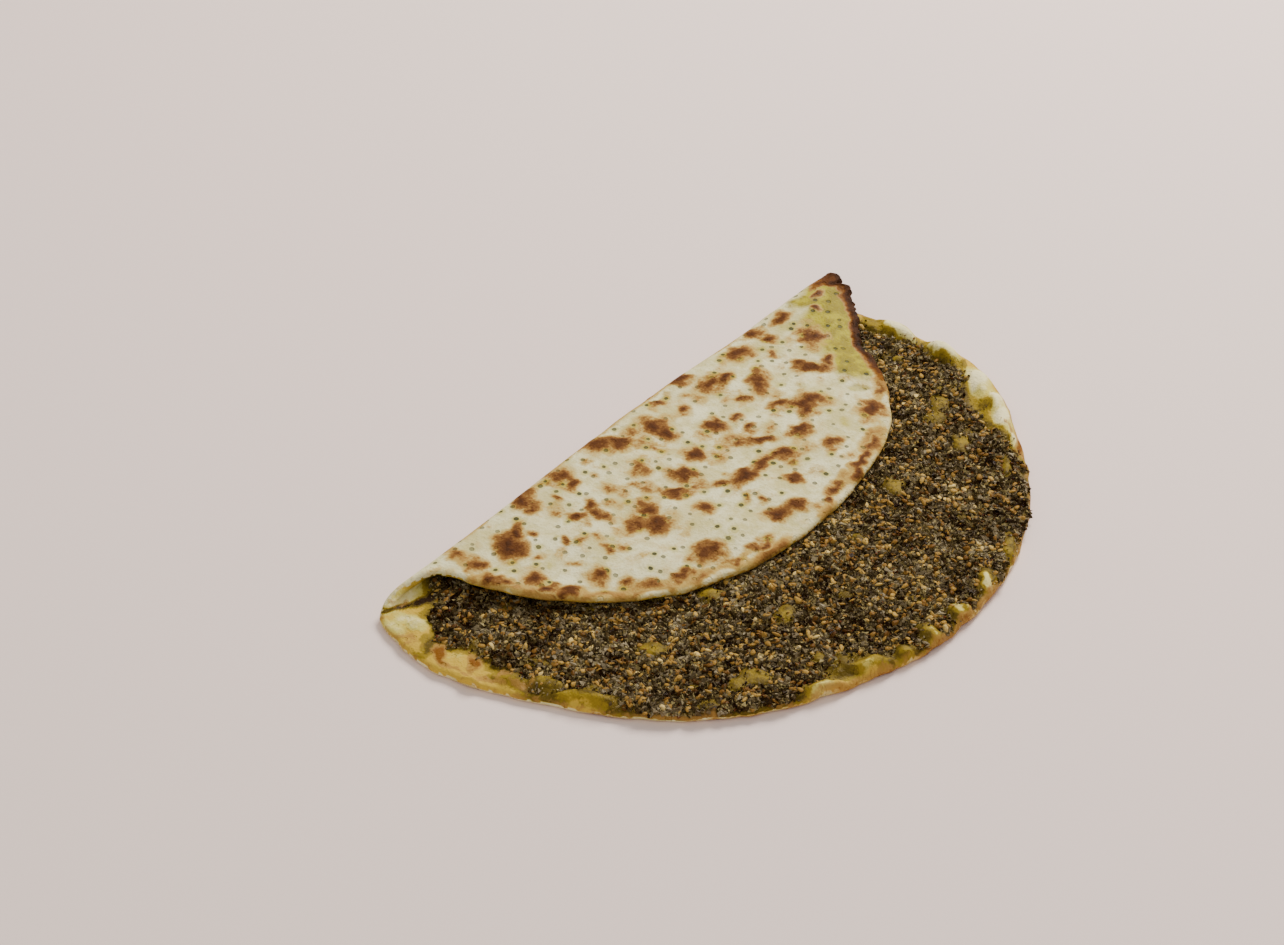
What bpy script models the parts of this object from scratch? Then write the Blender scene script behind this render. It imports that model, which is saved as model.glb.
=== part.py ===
"""A za'atar flatbread, baked flat and then folded over itself.

One thin round of dough lies baked side down. Its far part is folded up and over, so that it
lies back on the round with the baked, spotted side showing. A layer of herbs and sesame
covers the dough's upper face and runs through the fold. One end of the fold is burnt and
curls up.

Lengths are metres. X runs along the fold, -Y is the open front and Z is up. The origin is
the middle of the bounding box, on the floor. On the flat round, x is measured along the fold
and s across it, from the line where the bend starts towards the flap.
"""

import math
import random

import bpy
import numpy as np
from mathutils import Matrix, Vector

# The round before it is folded
ROUND_RADIUS = 0.140
ROUND_CENTRE = (-0.0093, -0.0213)
DOUGH_THICKNESS = 0.0032
RIM_ROUNDING = 0.0011
# How far the rim departs from the circle, in millimetres, at turns in degrees. Turn 0 is
# along X and turn 90 is the flap's side, where the bread was pulled short on the left.
RIM_DEPARTURES = {
    0: -1.9, 12: 4.0, 22: 5.5, 32: 3.8, 45: 2.7, 60: 4.0, 80: -0.1, 100: -4.9,
    120: -10.0, 138: -16.0, 150: -22.5, 159: -25.3, 168: -6.9, 180: -1.4, 200: -0.7,
    220: 3.2, 240: 1.2, 260: 1.1, 280: -1.0, 300: -2.6, 320: -1.5, 340: 5.1,
}
MILLIMETRE = 0.001

# The fold
BEND_RADIUS = 0.0053
FOLD_HALF_LENGTH = 0.135
FOLD_BOW = 0.0062
FOLD_SKEW = 0.0051
FLAP_DROOP = 0.0018
DROOP_WIDTH = 0.016
BLISTER_HEIGHT = 0.0004
BLISTER_SPACING = 0.044

# The burnt corner at the fold's far end, where the bend widens and the flap curls up
CORNER_WIDENING = 0.0026
CORNER_FROM = 0.064
CORNER_TO = 0.130
CORNER_FALL = 0.050
LONGEST_BEND = math.pi * (BEND_RADIUS + CORNER_WIDENING)
CRACK_TURN = 23.0
CRACK_WIDTH = 0.0035
CRACK_DEPTH = 0.0065

# The layer of herbs and sesame
TOPPING_GAP = 0.00035
FOLDED_GAP = 0.0003
TOPPING_THICKNESS = 0.0009
TOPPING_RELIEF = 0.00018
BARE_RIM = 0.0085
BARE_RIM_WAVES = ((3, 0.0016, 20.0), (5, 0.0012, 75.0), (9, 0.0009, 130.0))

# Sesame seeds that lie on the open part of the layer
SEED_COUNT = 155
SEED_LENGTH = 0.0034
SEED_WIDTH = 0.0021
SEED_HEIGHT = 0.0012
SEED_SPACING = 0.0080
SEED_SINK = 0.0002
SEED_SIDES = 5
SEED_RINGS = 4

# How finely the sheets are divided
FRONT_ROWS = 12
BEND_ROWS = 11
FLAP_ROWS = 9
DOUGH_COLUMNS = 26
TOPPING_COLUMNS = 22
POLE_CUT = 0.0004
OUTLINE_POINTS = 1440

RANDOM_SEED = 7


def ramp(value, low, high):
    """Ease from 0 at low to 1 at high."""
    t = np.clip((np.asarray(value, float) - low) / (high - low), 0.0, 1.0)
    return t * t * (3.0 - 2.0 * t)


def rim_radius(turn):
    """The round's radius at a turn in degrees: a smooth curve through the departures."""
    knots = np.array(sorted(RIM_DEPARTURES), float)
    heights = np.array([RIM_DEPARTURES[int(knot)] for knot in knots]) * MILLIMETRE
    # One knot more on each side closes the curve on itself
    places = np.concatenate([[knots[-1] - 360.0], knots, knots[:2] + 360.0])
    values = np.concatenate([[heights[-1]], heights, heights[:2]])
    turn = np.asarray(turn, float) % 360.0
    k = np.clip(np.searchsorted(knots, turn, side="right"), 1, len(knots))
    width = places[k + 1] - places[k]
    t = (turn - places[k]) / width
    leave = (values[k + 1] - values[k - 1]) / (places[k + 1] - places[k - 1]) * width
    arrive = (values[k + 2] - values[k]) / (places[k + 2] - places[k]) * width
    rise = values[k + 1] - values[k]
    departure = values[k] + t * leave + t * t * (3.0 * rise - 2.0 * leave - arrive)
    departure += t ** 3 * (leave + arrive - 2.0 * rise)
    return ROUND_RADIUS + departure


def bare_rim(turn):
    """How far inside the rim the topping stops, at a turn in degrees."""
    width = BARE_RIM + 0.0 * turn
    for waves, height, start in BARE_RIM_WAVES:
        width = width + height * np.sin(np.radians(waves * turn + start))
    return width


def fold_bow(x):
    """How far the line of the bend bows towards the back, along the fold."""
    along = np.clip(x / FOLD_HALF_LENGTH, -1.15, 1.15)
    return (FOLD_BOW + FOLD_SKEW * along) * (1.0 - along ** 2)


def bend_radius(x):
    """The radius of the bend's outer face, along the fold."""
    return BEND_RADIUS + CORNER_WIDENING * ramp(x, CORNER_FROM, CORNER_TO)


def rim_distance(x, s):
    """How far a point of the flat round lies inside its rim."""
    across = s - ROUND_CENTRE[1]
    along = x - ROUND_CENTRE[0]
    turn = np.degrees(np.arctan2(across, along))
    return rim_radius(turn) - np.hypot(along, across)


def skin(x, s):
    """Fold points of the flat round's baked skin into place."""
    bow = fold_bow(x)
    past = s - bow
    radius = bend_radius(x)
    turned = np.clip(past / radius, 0.0, math.pi)
    flap = np.maximum(past - math.pi * radius, 0.0)
    y = bow + np.minimum(past, 0.0) + radius * np.sin(turned) - flap
    z = radius * (1.0 - np.cos(turned)) - (radius - BEND_RADIUS) * ramp(flap, 0.0, CORNER_FALL)
    on_flap = ramp(flap, 0.0, 3.0 * BEND_RADIUS)
    waves = np.sin(2.0 * math.pi * x / BLISTER_SPACING + 90.0 * s)
    waves = waves * np.cos(2.0 * math.pi * s / BLISTER_SPACING - 60.0 * x)
    z = z + BLISTER_HEIGHT * waves * on_flap
    near_rim = 1.0 - ramp(rim_distance(x, s), 0.0, DROOP_WIDTH)
    z = z - FLAP_DROOP * near_rim * on_flap * ramp(x, -0.105, -0.06)
    return np.stack([x, y, z], axis=-1)


def sheet(x, s, depth):
    """Place points at a depth into the dough from its baked skin."""
    step = 0.0004
    along = skin(x + step, s) - skin(x - step, s)
    across = skin(x, s + step) - skin(x, s - step)
    inward = np.cross(along, across)
    inward = inward / np.linalg.norm(inward, axis=-1, keepdims=True)
    return skin(x, s) + np.asarray(depth)[..., None] * inward


def outline(bare):
    """The flat outline, with a bare rim left off or not, as x and the way past the bend."""
    turn = np.linspace(0.0, 360.0, OUTLINE_POINTS, endpoint=False)
    radius = rim_radius(turn) - (bare_rim(turn) if bare else 0.0)
    x = ROUND_CENTRE[0] + radius * np.cos(np.radians(turn))
    s = ROUND_CENTRE[1] + radius * np.sin(np.radians(turn))
    return x, s - fold_bow(x)


def rows_and_ends(bare):
    """The sheet's rows, as ways past the bend, and the x where each row starts and ends."""
    x, past = outline(bare)
    first, last = int(np.argmin(past)), int(np.argmax(past))
    right = np.arange(first, last + OUTLINE_POINTS + 1) % OUTLINE_POINTS
    left = np.arange(last, first + 1) % OUTLINE_POINTS
    front = past[first] + POLE_CUT
    back = past[last] - POLE_CUT
    quarter = 1.0 - np.cos(np.linspace(0.0, math.pi / 2.0, FRONT_ROWS + 1))
    rows = [front - front * quarter]
    rows.append(np.linspace(0.0, LONGEST_BEND, BEND_ROWS + 1)[1:])
    quarter = 1.0 - np.cos(np.linspace(0.0, math.pi / 2.0, FLAP_ROWS + 1))
    rows.append((back - (back - LONGEST_BEND) * quarter)[::-1][1:])
    rows = np.concatenate(rows)
    x_right = np.interp(rows, past[right], x[right])
    x_left = np.interp(rows, past[left][::-1], x[left][::-1])
    return rows, x_left, x_right


def make_material(name, colour, roughness):
    """A plain material in a node's own colour."""
    material = bpy.data.materials.new(name)
    material.use_nodes = True
    shader = material.node_tree.nodes["Principled BSDF"]
    shader.inputs["Base Color"].default_value = (*colour, 1.0)
    shader.inputs["Metallic"].default_value = 0.0
    shader.inputs["Roughness"].default_value = roughness
    material.diffuse_color = (*colour, 1.0)
    return material


def move_to(collection, item):
    """Leave an object in one collection only."""
    for holder in list(item.users_collection):
        holder.objects.unlink(item)
    collection.objects.link(item)


def make_sheet(name, columns, bare, depth, thickness):
    """A grid laid on the folded round at a depth, given a thickness."""
    rows, x_left, x_right = rows_and_ends(bare)
    bpy.ops.mesh.primitive_grid_add(
        x_subdivisions=columns, y_subdivisions=len(rows) - 1, size=1.0)
    item = bpy.context.object
    item.name = name
    corners = np.array([vertex.co[:2] for vertex in item.data.vertices]) + 0.5
    row = np.rint(corners[:, 1] * (len(rows) - 1)).astype(int)
    x = x_left[row] + corners[:, 0] * (x_right - x_left)[row]
    s = rows[row] + fold_bow(x)
    places = sheet(x, s, depth(x, s))
    for vertex, place in zip(item.data.vertices, places):
        vertex.co = place
    shell = item.modifiers.new("thickness", "SOLIDIFY")
    shell.thickness = thickness
    shell.offset = 1.0
    shell.use_even_offset = True
    return item


def apply_modifiers(item):
    """Make an object's modifiers part of its mesh."""
    bpy.ops.object.select_all(action="DESELECT")
    item.select_set(True)
    bpy.context.view_layer.objects.active = item
    for modifier in list(item.modifiers):
        bpy.ops.object.modifier_apply(modifier=modifier.name)


def make_dough(collection, cutters):
    """The folded round with its rounded rim and the crack in its burnt corner."""
    dough = make_sheet("dough", DOUGH_COLUMNS, False, lambda x, s: 0.0 * x, DOUGH_THICKNESS)
    rim = dough.modifiers.new("rounded rim", "BEVEL")
    rim.limit_method = "ANGLE"
    rim.angle_limit = math.radians(50.0)
    rim.width = RIM_ROUNDING
    rim.segments = 1
    move_to(collection, dough)
    crack = make_crack()
    move_to(cutters, crack)
    cut = dough.modifiers.new("crack", "BOOLEAN")
    cut.operation = "DIFFERENCE"
    cut.object = crack
    dough.data.materials.append(make_material("baked dough", (0.74, 0.68, 0.50), 0.75))
    apply_modifiers(dough)
    bpy.data.objects.remove(crack)
    return dough


def make_crack():
    """A wedge through the rim, pointing into the bread, for the crack at the burnt corner."""
    turn = math.radians(CRACK_TURN)
    outward = np.array([math.cos(turn), math.sin(turn)])
    tip, mouth = (
        np.array(ROUND_CENTRE) + outward * (float(rim_radius(CRACK_TURN)) + reach)
        for reach in (-CRACK_DEPTH, 0.5 * CRACK_DEPTH))
    tip = Vector(sheet(tip[0], tip[1], 0.5 * DOUGH_THICKNESS))
    mouth = Vector(sheet(mouth[0], mouth[1], 0.5 * DOUGH_THICKNESS))
    bpy.ops.mesh.primitive_cone_add(vertices=12, radius1=1.0, radius2=0.0, depth=1.0)
    crack = bpy.context.object
    crack.name = "crack cutter"
    crack.hide_render = True
    crack.display_type = "WIRE"
    inward = tip - mouth
    upright = inward.cross(Vector((0.0, 1.0, 0.0))).normalized()
    sideways = upright.cross(inward).normalized()
    shape = Matrix.Identity(4)
    shape.col[0] = (*(sideways * CRACK_WIDTH * 0.75), 0.0)
    shape.col[1] = (*(upright * DOUGH_THICKNESS * 3.0), 0.0)
    shape.col[2] = (*inward, 0.0)
    shape.translation = (tip + mouth) / 2.0
    crack.data.transform(shape)
    return crack


def topping_depth(x, s):
    """The topping's underside, just clear of the dough, and a little more through the fold."""
    folded = ramp(s - fold_bow(x), -0.006, 0.0)
    return DOUGH_THICKNESS + TOPPING_GAP + FOLDED_GAP * folded


def make_topping(collection):
    """The layer of herbs and sesame, with the seeds that show fused to it."""
    topping = make_sheet(
        "zaatar", TOPPING_COLUMNS, True, topping_depth, TOPPING_THICKNESS)
    move_to(collection, topping)
    topping.data.materials.append(
        make_material("herbs and sesame", (0.15, 0.13, 0.06), 0.85))
    apply_modifiers(topping)
    roughen(topping)
    seeds = bpy.data.collections.new("seeds")
    bpy.context.scene.collection.children.link(seeds)
    scatter_seeds(seeds, random.Random(RANDOM_SEED))
    join = topping.modifiers.new("seeds", "BOOLEAN")
    join.operation = "UNION"
    join.operand_type = "COLLECTION"
    join.collection = seeds
    join.solver = "EXACT"
    apply_modifiers(topping)
    for seed in list(seeds.objects):
        bpy.data.objects.remove(seed)
    bpy.data.collections.remove(seeds)
    return topping


def roughen(topping):
    """Raise and lower the open topping's upper face a little."""
    draw = random.Random(RANDOM_SEED)
    top = DOUGH_THICKNESS + TOPPING_GAP + 0.9 * TOPPING_THICKNESS
    for vertex in topping.data.vertices:
        on_top = top < vertex.co.z < top + TOPPING_THICKNESS
        if on_top and is_open(vertex.co.x, vertex.co.y, 0.0):
            vertex.co.z += draw.uniform(-TOPPING_RELIEF, TOPPING_RELIEF)


def is_open(x, y, margin):
    """Whether a place on the lower layer is clear of the flap above it."""
    rim_x, past = outline(False)
    flap = np.where(past > LONGEST_BEND)[0]
    places = skin(rim_x[flap], past[flap] + fold_bow(rim_x[flap]))
    order = np.argsort(places[:, 0])
    flap_y = np.interp(x, places[order, 0], places[order, 1])
    return y < min(flap_y, float(fold_bow(x))) - margin


def scatter_seeds(collection, draw):
    """Lay seeds evenly on the open topping, never nearer to each other than the spacing."""
    half = (SEED_LENGTH / 2.0, SEED_WIDTH / 2.0, SEED_HEIGHT / 2.0)
    top = DOUGH_THICKNESS + TOPPING_GAP + TOPPING_THICKNESS
    taken = []
    for _ in range(200 * SEED_COUNT):
        if len(taken) == SEED_COUNT:
            break
        x = ROUND_CENTRE[0] + draw.uniform(-ROUND_RADIUS, ROUND_RADIUS)
        y = ROUND_CENTRE[1] + draw.uniform(-ROUND_RADIUS, ROUND_RADIUS)
        turn = math.degrees(math.atan2(y - ROUND_CENTRE[1], x - ROUND_CENTRE[0]))
        inside = rim_distance(x, y) > float(bare_rim(turn)) + SEED_LENGTH
        if not inside or not is_open(x, y, 1.5 * SEED_LENGTH):
            continue
        if any(math.hypot(x - a, y - b) < SEED_SPACING for a, b in taken):
            continue
        taken.append((x, y))
        seed = make_seed(half, draw)
        seed.location = (x, y, top + SEED_SINK)
        seed.rotation_euler = (draw.uniform(-0.15, 0.15), 0.0, draw.uniform(0.0, math.tau))
        move_to(collection, seed)


def make_seed(half, draw):
    """One flat seed, pointed at one end."""
    bpy.ops.mesh.primitive_uv_sphere_add(
        segments=SEED_SIDES, ring_count=SEED_RINGS, radius=1.0, rotation=(0.0, 0.0, 0.0))
    seed = bpy.context.object
    seed.name = "seed"
    size = draw.uniform(0.88, 1.12)
    for vertex in seed.data.vertices:
        x, y, z = vertex.co
        # The sphere's axis becomes the seed's length, and narrows towards one end
        narrow = 1.0 - 0.35 * z
        vertex.co = (z * half[0] * size, x * half[1] * narrow * size, y * half[2] * size)
    return seed


def settle(items):
    """Put the origin at the middle of the bounding box, on the floor."""
    places = np.array([vertex.co for item in items for vertex in item.data.vertices])
    low, high = places.min(axis=0), places.max(axis=0)
    middle = Vector(((low[0] + high[0]) / 2.0, (low[1] + high[1]) / 2.0, low[2]))
    for item in items:
        item.data.transform(Matrix.Translation(-middle))
        item.data.shade_smooth()
        item.data.set_sharp_from_angle(angle=math.radians(40.0))


def main():
    """Clear the scene and build the bread."""
    for item in list(bpy.data.objects):
        bpy.data.objects.remove(item)
    bread = bpy.data.collections.new("manakish")
    cutters = bpy.data.collections.new("cutters")
    bpy.context.scene.collection.children.link(bread)
    bpy.context.scene.collection.children.link(cutters)
    settle([make_dough(bread, cutters), make_topping(bread)])


main()
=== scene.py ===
"""Looks of a za'atar flatbread that is folded over itself.

The bread is one thin round of dough, folded so that its baked, spotted side shows on the
flap, and its herb and sesame topping shows on the open half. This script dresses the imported
solids: a finely shaped round of dough replaces the plain one, and the topping is built up
from a crumbly layer with herb flakes, sesame seeds and red-brown bits lying on it.

Lengths are metres. On the flat round, x runs along the fold and s across it, from the line
where the bend starts towards the flap. A depth is measured into the bread from the baked
skin.
"""

from __future__ import annotations

import logging
import math
from dataclasses import dataclass, field
from enum import Enum
from typing import Any, Sequence

import bpy
import numpy as np
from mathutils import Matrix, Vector

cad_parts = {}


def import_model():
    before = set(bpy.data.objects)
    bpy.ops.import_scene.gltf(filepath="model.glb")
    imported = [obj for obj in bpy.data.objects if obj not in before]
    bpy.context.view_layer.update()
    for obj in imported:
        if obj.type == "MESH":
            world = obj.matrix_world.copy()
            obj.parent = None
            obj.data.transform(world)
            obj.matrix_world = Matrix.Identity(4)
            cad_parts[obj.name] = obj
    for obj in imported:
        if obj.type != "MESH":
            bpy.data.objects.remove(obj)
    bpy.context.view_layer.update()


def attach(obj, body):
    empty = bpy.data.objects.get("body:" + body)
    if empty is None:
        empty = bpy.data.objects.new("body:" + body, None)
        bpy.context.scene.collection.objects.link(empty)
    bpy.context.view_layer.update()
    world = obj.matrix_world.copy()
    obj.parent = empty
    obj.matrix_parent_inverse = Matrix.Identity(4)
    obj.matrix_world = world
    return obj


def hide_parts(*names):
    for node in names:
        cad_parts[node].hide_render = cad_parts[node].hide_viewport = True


LOG = logging.getLogger("flatbread")

Points = np.ndarray
Colour = tuple[float, float, float]

MM = 0.001


def ramp(value: Points | float, low: float, high: float) -> Points:
    """Ease from 0 at low to 1 at high.

    Args:
        value: Numbers to ease.
        low: Where the result leaves 0.
        high: Where the result reaches 1.

    Returns:
        The eased numbers.
    """
    t = np.clip((np.asarray(value, float) - low) / (high - low), 0.0, 1.0)
    return t * t * (3.0 - 2.0 * t)


@dataclass(frozen=True)
class Lumps:
    """Smooth random lumps over the flat round, with no direction of their own.

    Attributes:
        size: How far apart the lumps are.
        seed: Which set of lumps this is.
        reach: Half the side of the square that the lumps cover.
    """

    size: float
    seed: int
    reach: float = 0.2

    def __call__(self, x: Points, s: Points) -> Points:
        """Read the lumps.

        Args:
            x: Places along the fold.
            s: Places across the fold.

        Returns:
            Numbers from 0 to 1.
        """
        count = int(2.0 * self.reach / self.size) + 3
        lattice = np.random.default_rng(self.seed).random((count, count))
        # The lattice is turned, so that its rows don't line up with the mesh
        a = (0.8 * x + 0.6 * s + self.reach) / self.size
        b = (0.8 * s - 0.6 * x + self.reach) / self.size
        i = np.clip(np.floor(a).astype(int), 0, count - 2)
        j = np.clip(np.floor(b).astype(int), 0, count - 2)
        u = ramp(a - i, 0.0, 1.0)
        v = ramp(b - j, 0.0, 1.0)
        near = lattice[i, j] * (1.0 - u) + lattice[i + 1, j] * u
        far = lattice[i, j + 1] * (1.0 - u) + lattice[i + 1, j + 1] * u
        return near * (1.0 - v) + far * v


@dataclass(frozen=True)
class Turns:
    """A smooth closed curve of values, in millimetres, at turns round the bread in degrees.

    Attributes:
        values: Turn and value pairs, with the turns rising from 0.
    """

    values: tuple[tuple[float, float], ...]

    def __call__(self, turn: Points | float) -> Points:
        """Read the curve.

        Args:
            turn: Turns in degrees.

        Returns:
            The values at those turns, in metres.
        """
        knots = np.array([pair[0] for pair in self.values], float)
        heights = np.array([pair[1] for pair in self.values]) * MM
        places = np.concatenate([[knots[-1] - 360.0], knots, knots[:2] + 360.0])
        values = np.concatenate([[heights[-1]], heights, heights[:2]])
        turn = np.asarray(turn, float) % 360.0
        k = np.clip(np.searchsorted(knots, turn, side="right"), 1, len(knots))
        width = places[k + 1] - places[k]
        t = (turn - places[k]) / width
        leave = (values[k + 1] - values[k - 1]) / (places[k + 1] - places[k - 1]) * width
        arrive = (values[k + 2] - values[k]) / (places[k + 2] - places[k]) * width
        rise = values[k + 1] - values[k]
        curve = values[k] + t * leave + t * t * (3.0 * rise - 2.0 * leave - arrive)
        return curve + t ** 3 * (leave + arrive - 2.0 * rise)


@dataclass(frozen=True)
class Fold:
    """The shape of the round and of its fold, with the same sizes as the solids.

    Attributes:
        radius: The round's radius before it is folded.
        centre: The round's centre, as x and s.
        dough: The dough's thickness.
        bend: The radius of the bend's outer face.
        widening: How much wider the bend is at the burnt corner.
        widens: Where along the fold the bend widens, from and to.
        corner_fall: The length of flap over which the corner's extra height is lost.
        half_length: Half the fold's length.
        bow: How far the fold's line bows to the back.
        skew: How much further it bows on the right than on the left.
        droop: How far the flap's rim comes down onto the topping.
        droop_width: How wide the rim is that comes down.
        droop_from: Where along the fold the rim starts to come down, from and to.
        blister: The height of the flap's broad waves.
        blister_spacing: The spacing of those waves.
        blister_skew: How much the waves are turned across and along the fold.
        rim: The rim's departures from the circle, by turn.
        middle: The middle of the folded bread's box, where the part's origin is.
    """

    radius: float = 0.140
    centre: tuple[float, float] = (-0.0093, -0.0213)
    dough: float = 0.0032
    bend: float = 0.0053
    widening: float = 0.0026
    widens: tuple[float, float] = (0.064, 0.130)
    corner_fall: float = 0.050
    half_length: float = 0.135
    bow: float = 0.0062
    skew: float = 0.0051
    droop: float = 0.0024
    droop_width: float = 0.018
    droop_from: tuple[float, float] = (-0.105, -0.06)
    blister: float = 0.0004
    blister_spacing: float = 0.044
    blister_skew: tuple[float, float] = (90.0, 60.0)
    rim: Turns = Turns((
        (0, -1.9), (9, 2.2), (12, 4.0), (15, 6.2), (18, 8.2), (21, 8.8), (24, 7.0),
        (27, 5.6), (30, 3.6), (33, 1.4), (36, -0.8), (39, -0.1), (42, 1.9), (45, 2.7),
        (60, 4.0), (80, -0.1), (100, -4.9), (120, -10.0), (138, -16.0), (150, -22.5),
        (159, -25.3), (168, -6.9), (174, -2.6), (180, 0.4), (185, 1.8), (190, 1.6),
        (200, 0.1), (210, 0.9), (220, 2.4), (232, 2.0), (240, 0.9), (250, -0.4),
        (260, -0.5), (270, -1.6), (280, -2.2), (290, -2.6), (300, -2.6), (320, -1.5),
        (340, 5.1),
    ))
    middle: tuple[float, float] = (-0.0083, -0.0746)

    def rim_radius(self, turn: Points | float) -> Points:
        """The round's radius at turns in degrees, where 90 is the flap's side."""
        return self.radius + self.rim(turn)

    def turn_and_reach(self, x: Points, s: Points) -> tuple[Points, Points]:
        """A place's turn in degrees, and its distance from the round's centre."""
        along, across = x - self.centre[0], s - self.centre[1]
        return np.degrees(np.arctan2(across, along)), np.hypot(along, across)

    def from_rim(self, x: Points, s: Points) -> Points:
        """How far inside the rim a place of the flat round lies."""
        turn, reach = self.turn_and_reach(x, s)
        return self.rim_radius(turn) - reach

    def bow_at(self, x: Points) -> Points:
        """How far the fold's line lies back, along the fold."""
        along = np.clip(x / self.half_length, -1.15, 1.15)
        return (self.bow + self.skew * along) * (1.0 - along ** 2)

    def skin(self, x: Points, s: Points) -> Points:
        """Fold places of the flat round's baked skin.

        Args:
            x: Places along the fold.
            s: Places across the fold.

        Returns:
            Points, with the last axis holding X, Y and Z.
        """
        bow = self.bow_at(x)
        past = s - bow
        radius = self.bend + self.widening * ramp(x, *self.widens)
        turned = np.clip(past / radius, 0.0, math.pi)
        flap = np.maximum(past - math.pi * radius, 0.0)
        y = bow + np.minimum(past, 0.0) + radius * np.sin(turned) - flap
        z = radius * (1.0 - np.cos(turned))
        z = z - (radius - self.bend) * ramp(flap, 0.0, self.corner_fall)
        on_flap = ramp(flap, 0.0, 3.0 * self.bend)
        skew_s, skew_x = self.blister_skew
        waves = np.sin(2.0 * math.pi * x / self.blister_spacing + skew_s * s)
        waves = waves * np.cos(2.0 * math.pi * s / self.blister_spacing - skew_x * x)
        z = z + self.blister * waves * on_flap
        near_rim = 1.0 - ramp(self.from_rim(x, s), 0.0, self.droop_width)
        z = z - self.droop * near_rim * on_flap * ramp(x, *self.droop_from)
        return np.stack([x, y, z], axis=-1)

    def inward(self, x: Points, s: Points) -> Points:
        """The direction into the bread from its baked skin.

        Args:
            x: Places along the fold.
            s: Places across the fold.

        Returns:
            Unit vectors, on the last axis.
        """
        step = 0.0004
        along = self.skin(x + step, s) - self.skin(x - step, s)
        across = self.skin(x, s + step) - self.skin(x, s - step)
        normal = np.cross(along, across)
        return normal / np.linalg.norm(normal, axis=-1, keepdims=True)

    def sheet(self, x: Points, s: Points, depth: Points) -> Points:
        """Place points at a depth into the bread."""
        return self.skin(x, s) + np.asarray(depth)[..., None] * self.inward(x, s)

    def place(self, turn: Points, reach: Points) -> tuple[Points, Points]:
        """A place of the flat round, from its turn in degrees and distance from the centre."""
        x = self.centre[0] + reach * np.cos(np.radians(turn))
        return x, self.centre[1] + reach * np.sin(np.radians(turn))

    def past_bend(self, x: Points, s: Points) -> Points:
        """How far past the line where the bend starts a place lies."""
        return s - self.bow_at(x)

    def under_flap(self, x: Points, s: Points) -> Points:
        """How far a place of the lower layer lies under the flap, behind the flap's rim.

        Args:
            x: Places along the fold.
            s: Places across the fold.

        Returns:
            Distances, below 0 in front of the flap's rim.
        """
        turn = np.linspace(0.0, 360.0, 1440, endpoint=False)
        rim_x, rim_s = self.place(turn, self.rim_radius(turn))
        flap = self.past_bend(rim_x, rim_s) > math.pi * (self.bend + self.widening)
        rim = self.skin(rim_x[flap], rim_s[flap])
        order = np.argsort(rim[:, 0])
        # Past the flap's ends, its rim counts as far behind
        behind = 0.05
        return s - np.interp(x, rim[order, 0], rim[order, 1], left=behind, right=behind)


@dataclass(frozen=True)
class View:
    """The photograph's viewpoint, in the fold's own frame.

    Attributes:
        place: Where the camera stands.
        down: How far it looks down, in degrees.
        heading: Its turn about the upright axis, in degrees.
        focal: Focal length in pixels.
        width: The image's width in pixels.
        height: The image's height in pixels.
        sensor: The camera's sensor width in millimetres.
    """

    place: tuple[float, float, float] = (-0.7311, -0.6005, 0.6623)
    down: float = 35.44
    heading: float = -50.69
    focal: float = 3000.0
    width: int = 1284
    height: int = 945
    sensor: float = 36.0

    def pixels(self, points: Points) -> Points:
        """Where points show in the photograph.

        Args:
            points: Points in the fold's frame, with the last axis holding X, Y and Z.

        Returns:
            Pixels across and down, on the last axis.
        """
        turn, drop = math.radians(self.heading), math.radians(self.down)
        right = np.array([math.cos(turn), math.sin(turn), 0.0])
        level = np.array([-math.sin(turn), math.cos(turn), 0.0])
        ahead = level * math.cos(drop) - np.array([0.0, 0.0, math.sin(drop)])
        above = np.cross(right, ahead)
        ray = points - np.array(self.place)
        far = ray @ ahead
        across = self.width / 2.0 + self.focal * (ray @ right) / far
        down = self.height / 2.0 - self.focal * (ray @ above) / far
        return np.stack([across, down], axis=-1)


@dataclass(frozen=True)
class Mark:
    """An oval mark, placed by where it shows in the photograph.

    Attributes:
        at: Its middle, in pixels.
        size: Its width and height, in pixels.
        turn: How far it is turned anticlockwise, in degrees.
        strength: How strong it is. Above 1, its middle is evenly strong.
    """

    at: tuple[float, float]
    size: tuple[float, float]
    turn: float = 0.0
    strength: float = 1.0

    def over(self, pixels: Points, full: float, halo: float) -> Points:
        """The mark's strength over some pixels.

        Args:
            pixels: Pixels across and down, on the last axis.
            full: How many of its own radii keep the full strength.
            halo: How many of its own radii out the mark has faded away.

        Returns:
            The strength, from 0 outside to the mark's own strength inside.
        """
        a = math.radians(self.turn)
        x = pixels[..., 0] - self.at[0]
        y = self.at[1] - pixels[..., 1]
        u = (x * math.cos(a) + y * math.sin(a)) / (self.size[0] / 2.0)
        v = (y * math.cos(a) - x * math.sin(a)) / (self.size[1] / 2.0)
        out = (np.hypot(u, v) - full) / (halo - full)
        return self.strength * np.clip(1.0 - out, 0.0, 1.0)


def strongest(among: Sequence[Mark], pixels: Points, full: float, halo: float) -> Points:
    """The strongest of several marks over some pixels.

    Args:
        among: The marks.
        pixels: Pixels across and down, on the last axis.
        full: How many of its own radii each mark keeps its full strength.
        halo: How many of its own radii out each mark has faded away.

    Returns:
        The strongest mark's strength, or 0 where there is none.
    """
    result = np.zeros(pixels.shape[:-1])
    for mark in among:
        result = np.maximum(result, mark.over(pixels, full, halo))
    return result


def marks(*rows: tuple[float, ...]) -> tuple[Mark, ...]:
    """Marks from rows of a middle, a width and a height, and perhaps a turn and a strength."""
    return tuple(Mark(row[:2], row[2:4], *row[4:]) for row in rows)


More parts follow.
